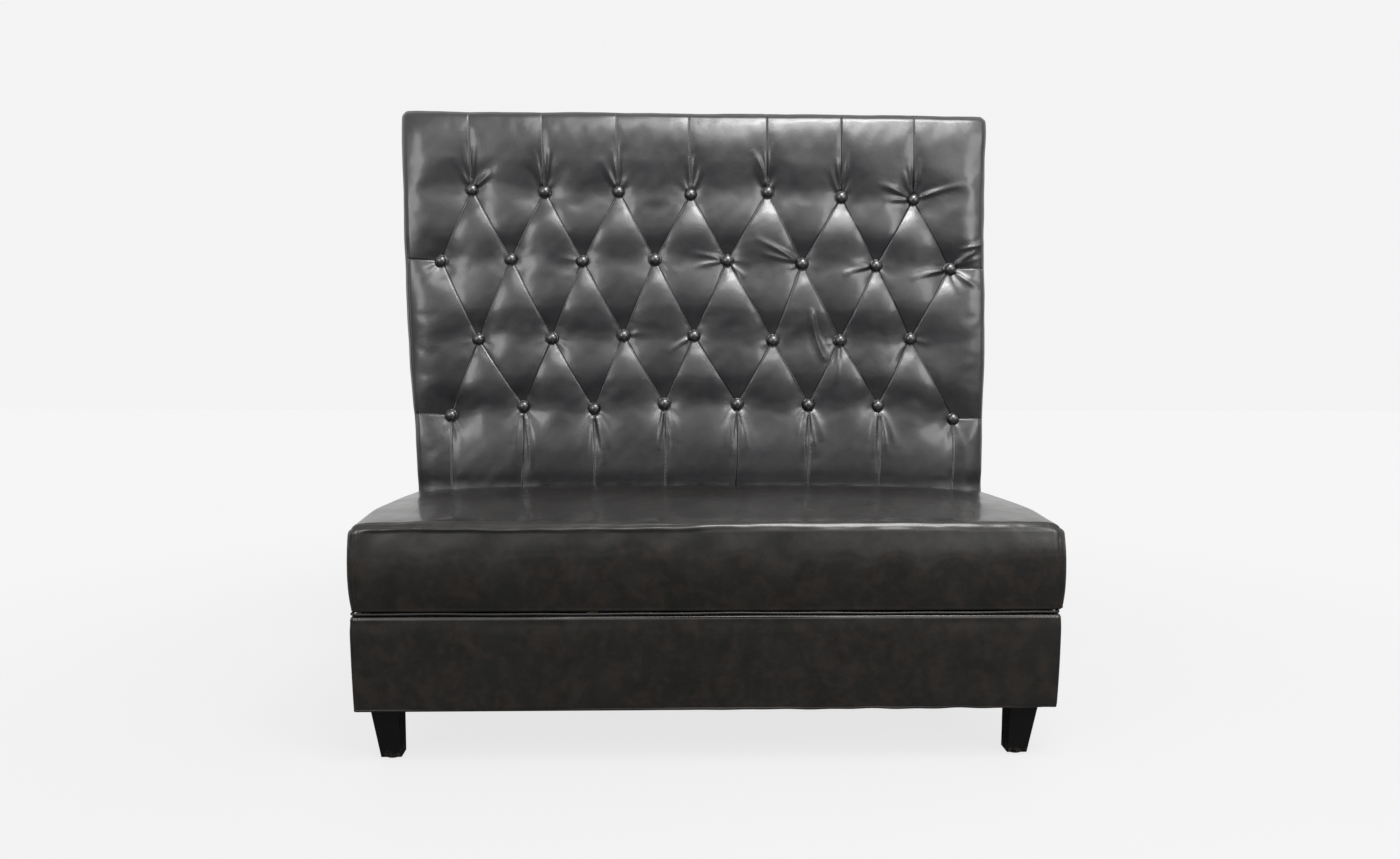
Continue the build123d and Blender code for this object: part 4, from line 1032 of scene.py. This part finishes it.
def shape_back(rest, smooth_sink):
    """Where the leather of the back lies, from its places on a plain box and its depth behind the face."""
    y, z = rest[:, 1], rest[:, 2]
    skin = round_edges(rest, (-back_half, back_front, cover_low.z), (back_half, back_rear, back_top),
                       (face_roll, face_roll, sharp), (face_roll, sharp, face_roll))
    skin[:, 1] += smooth_sink * (1 - ramp_up(y, back_front + 0.010, back_front + 0.065))
    up = np.clip(skin[:, 2] - seat_line, 0, None) / (back_top - seat_line)
    forward = 1 - ramp_up(y, back_front + 0.02, back_rear - 0.01)
    skin[:, 1] += lean * up * (1 - ramp_up(y, back_rear - 0.07, back_rear))
    skin[:, 2] += 0.0035 * ramp_up(z, back_top - 0.05, back_top) * forward
    risen = (skin[:, 2] - cover_low.z) / (back_top - cover_low.z)
    skin[:, 0] *= 1 - side_draw * 0.5 / back_half * (1 - risen)
    side = ramp_up(abs(rest[:, 0]), 0.47, 0.61)
    left = -0.010 * up - 0.011 * ramp_up(z, 0.48, 0.72)
    right = 0.0105 * (1 - ramp_up(z, 0.65, 1.16))
    askew = -0.0209 * (z - 0.61) * ramp_up(z, 0.42, 0.5)
    skin[:, 0] += (askew * (1 - side) + np.where(rest[:, 0] < 0, left, right) * side) * forward
    return skin


def on_box(points):
    """Places on the front of the back's plain box, from (x, z)."""
    return np.stack([points[:, 0], np.full(len(points), back_front), points[:, 1]], axis=1)


seam_band, foot_band, top_band, face_band = 0.006, 0.012, 0.02, 0.022
xs = spaced(-back_half, (seam_band - side_seam, 0.0012), (side_seam - seam_band, 0.0045), (back_half, 0.0012))
zs = spaced(cover_low.z, (seat_line - foot_band, 0.02), (back_top - top_band, 0.0045), (back_top, 0.0018))
ys = spaced(back_front, (back_front + face_band, 0.0020), (back_rear, 0.008))
back_pad = box_skin("back_leather_pad", xs, ys, zs, ("left", "right", "front", "top", "bottom"), back_leather)
divide(back_pad, (near_seams(0.007, 0.030, 0.011), near_seams(0.0032, 0.018, 0.001)))

# The leather is cut a little larger than the diamonds it covers, and the foam presses it out between seams.
rest = places_of(back_pad)
x, y, z = rest.T
on_face = y < back_front + 0.065
face_places = rest[on_face][:, [0, 2]]
swell = np.zeros((len(rest), 3))
lightly, slack, pressure, cap, kept_share = 0.10, 0.008, 4.0, 0.0035, 0.34
us = np.linspace(-side_seam + 0.003, side_seam - 0.003, 150)
vs = np.linspace(seat_line - 0.05, back_top - 0.012, 103)
flat = np.stack(np.meshgrid(us, vs, indexing="ij"), axis=-1).reshape(-1, 2)
places = shape_back(on_box(flat), sink(flat, fine=False)).reshape(len(us), len(vs), 3)
held = np.where(seam_gaps(flat) < 0.0045, 1.0, lightly).reshape(len(us), len(vs))
moves = blown_up(places, pinned_borders(held, 2, 2), slack, pressure, cap)
calm = 1 - bell(seam_gaps(face_places), 0, 0.006)
for row in rows:
    level = face_places[:, 1] - np.interp(face_places[:, 0], row[:, 0], row[:, 1])
    calm *= 1 - 0.7 * bell(level, 0, 0.016)
swell[on_face] = read_grid(moves, us, vs, face_places) * (kept_share * calm)[:, None]
depth = np.zeros(len(rest))
depth[on_face] = sink(face_places)
skin = shape_back(rest, depth)
skin += swell * (1 - ramp_up(y, back_front + 0.002, back_front + 0.020))[:, None]
free = ramp_up(z, cover_low.z, cover_low.z + 0.05) * (1 - ramp_up(y, back_rear - 0.05, back_rear))
slow = ripple(rest, ((0.33, 0.0018), (0.13, 0.0011), (0.060, 0.00050), (0.028, 0.00010)), 23)
seam_dip = -0.0015 * bell(abs(x), side_seam, 0.0014) * ramp_up(z, cover_low.z, cover_low.z + 0.02)
seam_dip *= 1 - 0.7 * ramp_up(z, seat_line + 0.2, back_top - 0.1)
skin += outward(back_pad, skin) * (slow * free + seam_dip)[:, None]
put(back_pad, skin)

board_low, board_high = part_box("tufting_panel")


def behind_panel(level_y):
    """A rule that draws the rim in to the edge of the back's boards, at one depth."""
    return drawn_to((board_low.x - 2 * hair, level_y, cover_low.z + 0.001),
                    (board_high.x + 2 * hair, level_y, board_high.z + 2 * hair))


close_inside(back_pad, (behind_panel(back_rear - 0.0035), behind_panel(board_low.y - 2 * hair)))
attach(back_pad, "root")
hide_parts("back_cover", "back_left_side_cover", "back_right_side_cover", "back_foam",
            "back_side_paddings", "back_top_padding")


# Stitches
#
# Black bonded thread in a lockstitch of about four millimetres. It closes the seams of the diamonds and the
# seams that run out from them, and lies in or beside the bottom of each, where it catches the light. Its
# colour is a painted highlight: pale grey in place of black, for the glints along it.

def thread_with_painted_highlight():
    finish = Finish("black_bonded_thread")
    ply = finish.wave(900.0, 1.0)
    return finish.close({
        # These pale greys are a painted highlight on black thread, standing in for the glints it catches.
        "Base Color": finish.mix(ply, grey(0.13), grey(0.30)),
        "Roughness": 0.38 + ply * 0.15,
        "Normal": finish.bump(ply, 0.3, 0.0002),
    })


def laid_out(name, points, edges, sizes, rule, material):
    """Runs a Geometry Nodes tree on points and edges and returns the plain mesh that it makes.

    sizes are the tree's named inputs. rule(tree, given) lays instances from the geometry and those sizes."""
    mesh = bpy.data.meshes.new(name + "_places")
    mesh.from_pydata([tuple(point) for point in points], edges, [])
    source = new_piece(name + "_places", mesh)
    group = bpy.data.node_groups.new(name + "_rule", "GeometryNodeTree")
    face = group.interface
    face.new_socket("Geometry", in_out="INPUT", socket_type="NodeSocketGeometry")
    keys = {label: face.new_socket(label, in_out="INPUT", socket_type="NodeSocketFloat").identifier
            for label in sizes}
    face.new_socket("Geometry", in_out="OUTPUT", socket_type="NodeSocketGeometry")
    tree = Tree(group)
    outlets = tree.make("NodeGroupInput").socket.node.outputs
    given = {socket.name: Signal(tree, socket) for socket in outlets if socket.name}
    laid = rule(tree, given)
    real = tree.make("GeometryNodeRealizeInstances", {}, {"Geometry": laid})
    dyed = tree.make("GeometryNodeSetMaterial", {}, {"Geometry": real, "Material": material})
    tree.make("NodeGroupOutput", {}, {"Geometry": dyed})
    worker = source.modifiers.new("rule", "NODES")
    worker.node_group = group
    for label, value in sizes.items():
        worker[keys[label]] = value
    bpy.context.view_layer.update()
    plain = bpy.data.meshes.new_from_object(source.evaluated_get(bpy.context.evaluated_depsgraph_get()))
    bpy.data.objects.remove(source)
    plain.name = name
    plain.polygons.foreach_set("use_smooth", np.full(len(plain.polygons), True))
    piece = new_piece(name, plain)
    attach(piece, "root")
    return piece


def stitch_rule(tree, given):
    """A bead of thread every so far along each edge line."""
    line = tree.make("GeometryNodeMeshToCurve", {}, {"Mesh": given["Geometry"]})
    place = tree.make("GeometryNodeCurveToPoints", {"mode": "LENGTH"},
                      {"Curve": line, "Length": given["Pitch"]})
    turned = Signal(tree, place.socket.node.outputs["Rotation"])
    bead = tree.make("GeometryNodeMeshUVSphere", {}, {"Segments": 6, "Rings": 4, "Radius": 0.5})
    shape = tree.make("ShaderNodeCombineXYZ", {},
                      {"X": given["Width"], "Y": given["Width"], "Z": given["Length"]})
    return tree.make("GeometryNodeInstanceOnPoints", {},
                     {"Points": place, "Instance": bead, "Rotation": turned, "Scale": shape})


def joined(paths):
    """The points and edges of several separate lines."""
    points, edges = [], []
    for path in paths:
        edges += [(len(points) + n, len(points) + n + 1) for n in range(len(path) - 1)]
        points += list(path)
    return points, edges


def on_back(points, lift):
    """Places on the face of the back, from (x, z), lifted off it a little."""
    skin = shape_back(on_box(points), sink(points))
    skin[:, 1] -= lift
    return skin


# A seam from button to button shows one row of stitches, and one that runs out is sewn down on both sides.
button_gap, end_gap, point_step, thread_lift = 0.0145, 0.006, 0.004, 0.0004
single_row, double_rows = (0.0007,), (-0.0013, 0.0013)
paths = []
for start, end, between_buttons in seams:
    way = end - start
    length = np.linalg.norm(way)
    begin = button_gap / length
    finish_at = 1 - begin if between_buttons else 1 - end_gap / length
    share = np.linspace(begin, finish_at, max(8, int(length / point_step)))
    beside = np.array((way[1], -way[0])) / length
    for shift in single_row if between_buttons else double_rows:
        paths.append(on_back(start + share[:, None] * way + beside * shift, thread_lift))
points, edges = joined(paths)
laid_out("back_seam_stitches", points, edges, {"Pitch": 0.0038, "Length": 0.0023, "Width": 0.0011},
         stitch_rule, thread_with_painted_highlight())


# Tuft buttons
#
# Thirty steel button shells pressed over with the same leather, each on a loop that the twine is tied to.

def button_rule(tree, given):
    """A domed button with a flat back at each point, each set a little askew."""
    ball = tree.make("GeometryNodeMeshUVSphere", {}, {"Segments": 32, "Rings": 20, "Radius": given["Radius"]})
    at = tree.make("GeometryNodeInputPosition")
    split = tree.make("ShaderNodeSeparateXYZ", {}, {"Vector": at}, "X")
    outlets = split.socket.node.outputs
    inward = Signal(tree, outlets["Y"]) * given["Dome"]
    flat = tree.make("ShaderNodeMath", {"operation": "MINIMUM"}, {0: inward, 1: 0.0012})
    shape = tree.make("ShaderNodeCombineXYZ", {}, {"X": split, "Y": flat, "Z": Signal(tree, outlets["Z"])})
    button = tree.make("GeometryNodeSetPosition", {}, {"Geometry": ball, "Position": shape})
    askew = tree.make("FunctionNodeRandomValue", {"data_type": "FLOAT_VECTOR"},
                      {0: (-0.07, -3.1, -0.07), 1: (0.07, 3.1, 0.07), "Seed": 7})
    return tree.make("GeometryNodeInstanceOnPoints", {},
                     {"Points": given["Geometry"], "Instance": button, "Rotation": askew})


button_leather = coated_leather("black_button_leather", (0.006, 0.006, 0.007, 1), (0.012, 0.0115, 0.011, 1),
                                0.6, 0.30, 0.3, 1.0)
button_rise = 0.0030
seats = shape_back(on_box(buttons), np.full(len(buttons), pocket_depth))
seats[:, 1] -= button_rise
button_set = laid_out("tuft_button_set", seats, [], {"Radius": 0.0118, "Dome": 0.7}, button_rule,
                      button_leather)
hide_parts("tuft_buttons")


# Twines
#
# Waxed flax twine, tied off behind the ply panel over a steel washer.

def waxed_twine():
    finish = Finish("waxed_twine")
    lay = finish.wave(500.0, 0.5)
    return finish.close({
        "Base Color": finish.mix(lay, (0.50, 0.42, 0.27, 1), (0.66, 0.58, 0.42, 1)),
        "Roughness": 0.55 + lay * 0.2,
        "Normal": finish.bump(lay, 0.4, 0.0003),
    })


dress(waxed_twine(), "tuft_twines")


# Wall side
#
# A sheet of hardboard closes the rear of the back and base, and a plain piece of the same leather covers it.

def hardboard():
    finish = Finish("tempered_hardboard")
    fibre = finish.noise(260.0, 6.0, Roughness=0.7)
    return finish.close({
        "Base Color": finish.mix(fibre, (0.20, 0.11, 0.055, 1), (0.32, 0.19, 0.10, 1)),
        "Roughness": 0.5 + fibre * 0.15,
        "Normal": finish.bump(fibre, 0.1, 0.0004),
    })


dress(hardboard(), "rear_panel")
dress(base_leather, "rear_cover")


# Studio
#
# A pale floor and surround, a wide soft lamp, a narrow one and a steep one high in front, and a tall one at
# each side of the camera. The camera sees floor and surround nearly white; the leather mirrors them darker.

backdrop = 0.90


def rays(tree):
    """Whether a ray comes from the camera, and whether it was mirrored or went through glass."""
    seen = tree.make("ShaderNodeLightPath", output="Is Camera Ray")
    mirrored = tree.make("ShaderNodeLightPath", output="Is Glossy Ray")
    through = tree.make("ShaderNodeLightPath", output="Is Transmission Ray")
    return seen, tree.larger(mirrored, through)


def pale_floor():
    finish = Finish("pale_floor")
    spread = finish.make("ShaderNodeVectorMath", {"operation": "LENGTH"}, {0: finish.place}, "Value")
    edge = finish.rise(spread, 3.4, 6.5)
    near = finish.rise(spread, 0.7, 2.4, 0.83, 1.0)
    seen, clear = rays(finish)
    share = finish.larger(seen * near, clear * edge)
    paint = finish.make("ShaderNodeBsdfPrincipled", {}, {
        "Base Color": finish.mix(seen, grey(0.07), finish.mix(finish.noise(3.0), grey(0.42), grey(0.45))),
        "Roughness": 0.6})
    glow = finish.make("ShaderNodeEmission", {}, {"Color": white, "Strength": backdrop + 0.02})
    mixed = finish.make("ShaderNodeMixShader", {}, {0: share, 1: paint, 2: glow})
    finish.make("ShaderNodeOutputMaterial", {}, {"Surface": mixed})
    return finish.material


far = 8
floor = lay_mesh("studio_floor", [(-far, -far, 0), (far, -far, 0), (far, far, 0), (-far, far, 0)],
                 [(0, 1, 2, 3)], pale_floor())

surround = bpy.data.worlds.new("studio_surround")
surround.use_nodes = True
bpy.context.scene.world = surround
sky = Tree(surround.node_tree)
sky.tree.nodes.clear()
way = sky.make("ShaderNodeTexCoord", output="Generated")
forward = sky.make("ShaderNodeSeparateXYZ", {}, {"Vector": way}, "Y")
upward = sky.make("ShaderNodeSeparateXYZ", {}, {"Vector": way}, "Z")
behind = sky.rise(forward, -0.25, 0.1)
lift = sky.rise(upward, -0.04, 0.13, 0.10, 0.95)
seen, clear = rays(sky)
level = lift + (backdrop - lift) * sky.larger(seen, clear * behind)
glow = sky.make("ShaderNodeBackground", {}, {"Color": white, "Strength": level})
sky.make("ShaderNodeOutputWorld", {}, {"Surface": glow})


def soft_lamp(name, place, target, width, height, power):
    """An area lamp that looks at a target."""
    lamp = bpy.data.lights.new(name, "AREA")
    lamp.shape, lamp.size, lamp.size_y, lamp.energy = "RECTANGLE", width, height, power
    holder = new_piece(name, lamp)
    holder.location = place
    holder.rotation_euler = (Vector(target) - Vector(place)).to_track_quat("-Z", "Y").to_euler()


soft_lamp("soft_lamp_above", (0.3, -2.3, 2.4), (0.0, 0.1, 0.7), 1.9, 0.6, 20.6)
soft_lamp("soft_lamp_strip", (0.62, -1.7, 2.5), (0.1, -0.2, 0.4), 1.1, 0.12, 13.5)
soft_lamp("soft_lamp_steep", (0.60, -1.15, 2.55), (0.40, -0.25, 0.45), 1.1, 0.9, 43.0)
soft_lamp("soft_lamp_left", (-1.65, -2.3, 1.35), (0.0, 0.1, 0.8), 0.6, 1.2, 15.0)
soft_lamp("soft_lamp_right", (1.75, -2.2, 1.45), (0.0, 0.1, 0.8), 0.6, 1.2, 15.0)

# The camera that was fitted to the photograph. Its focal length is in pixels of the photo's width.
focal_px, photo_width_px, sensor = 1075.37, 1400, 36.0
eye = (-0.0726, -2.1269, 0.7521)
yaw, tip, roll = 0.0314, 0.0923, 0.0042
view = bpy.data.cameras.new("photo_view")
view.sensor_width, view.lens = sensor, focal_px / photo_width_px * sensor
camera = new_piece("photo_view", view)
forward = Vector((math.sin(yaw) * math.cos(tip), math.cos(yaw) * math.cos(tip), -math.sin(tip)))
turn = forward.to_track_quat("-Z", "Y").to_matrix() @ Matrix.Rotation(roll, 3, "Z")
camera.matrix_world = Matrix.Translation(eye) @ turn.to_4x4()
bpy.context.scene.camera = camera
bpy.context.scene.view_settings.view_transform = "Standard"
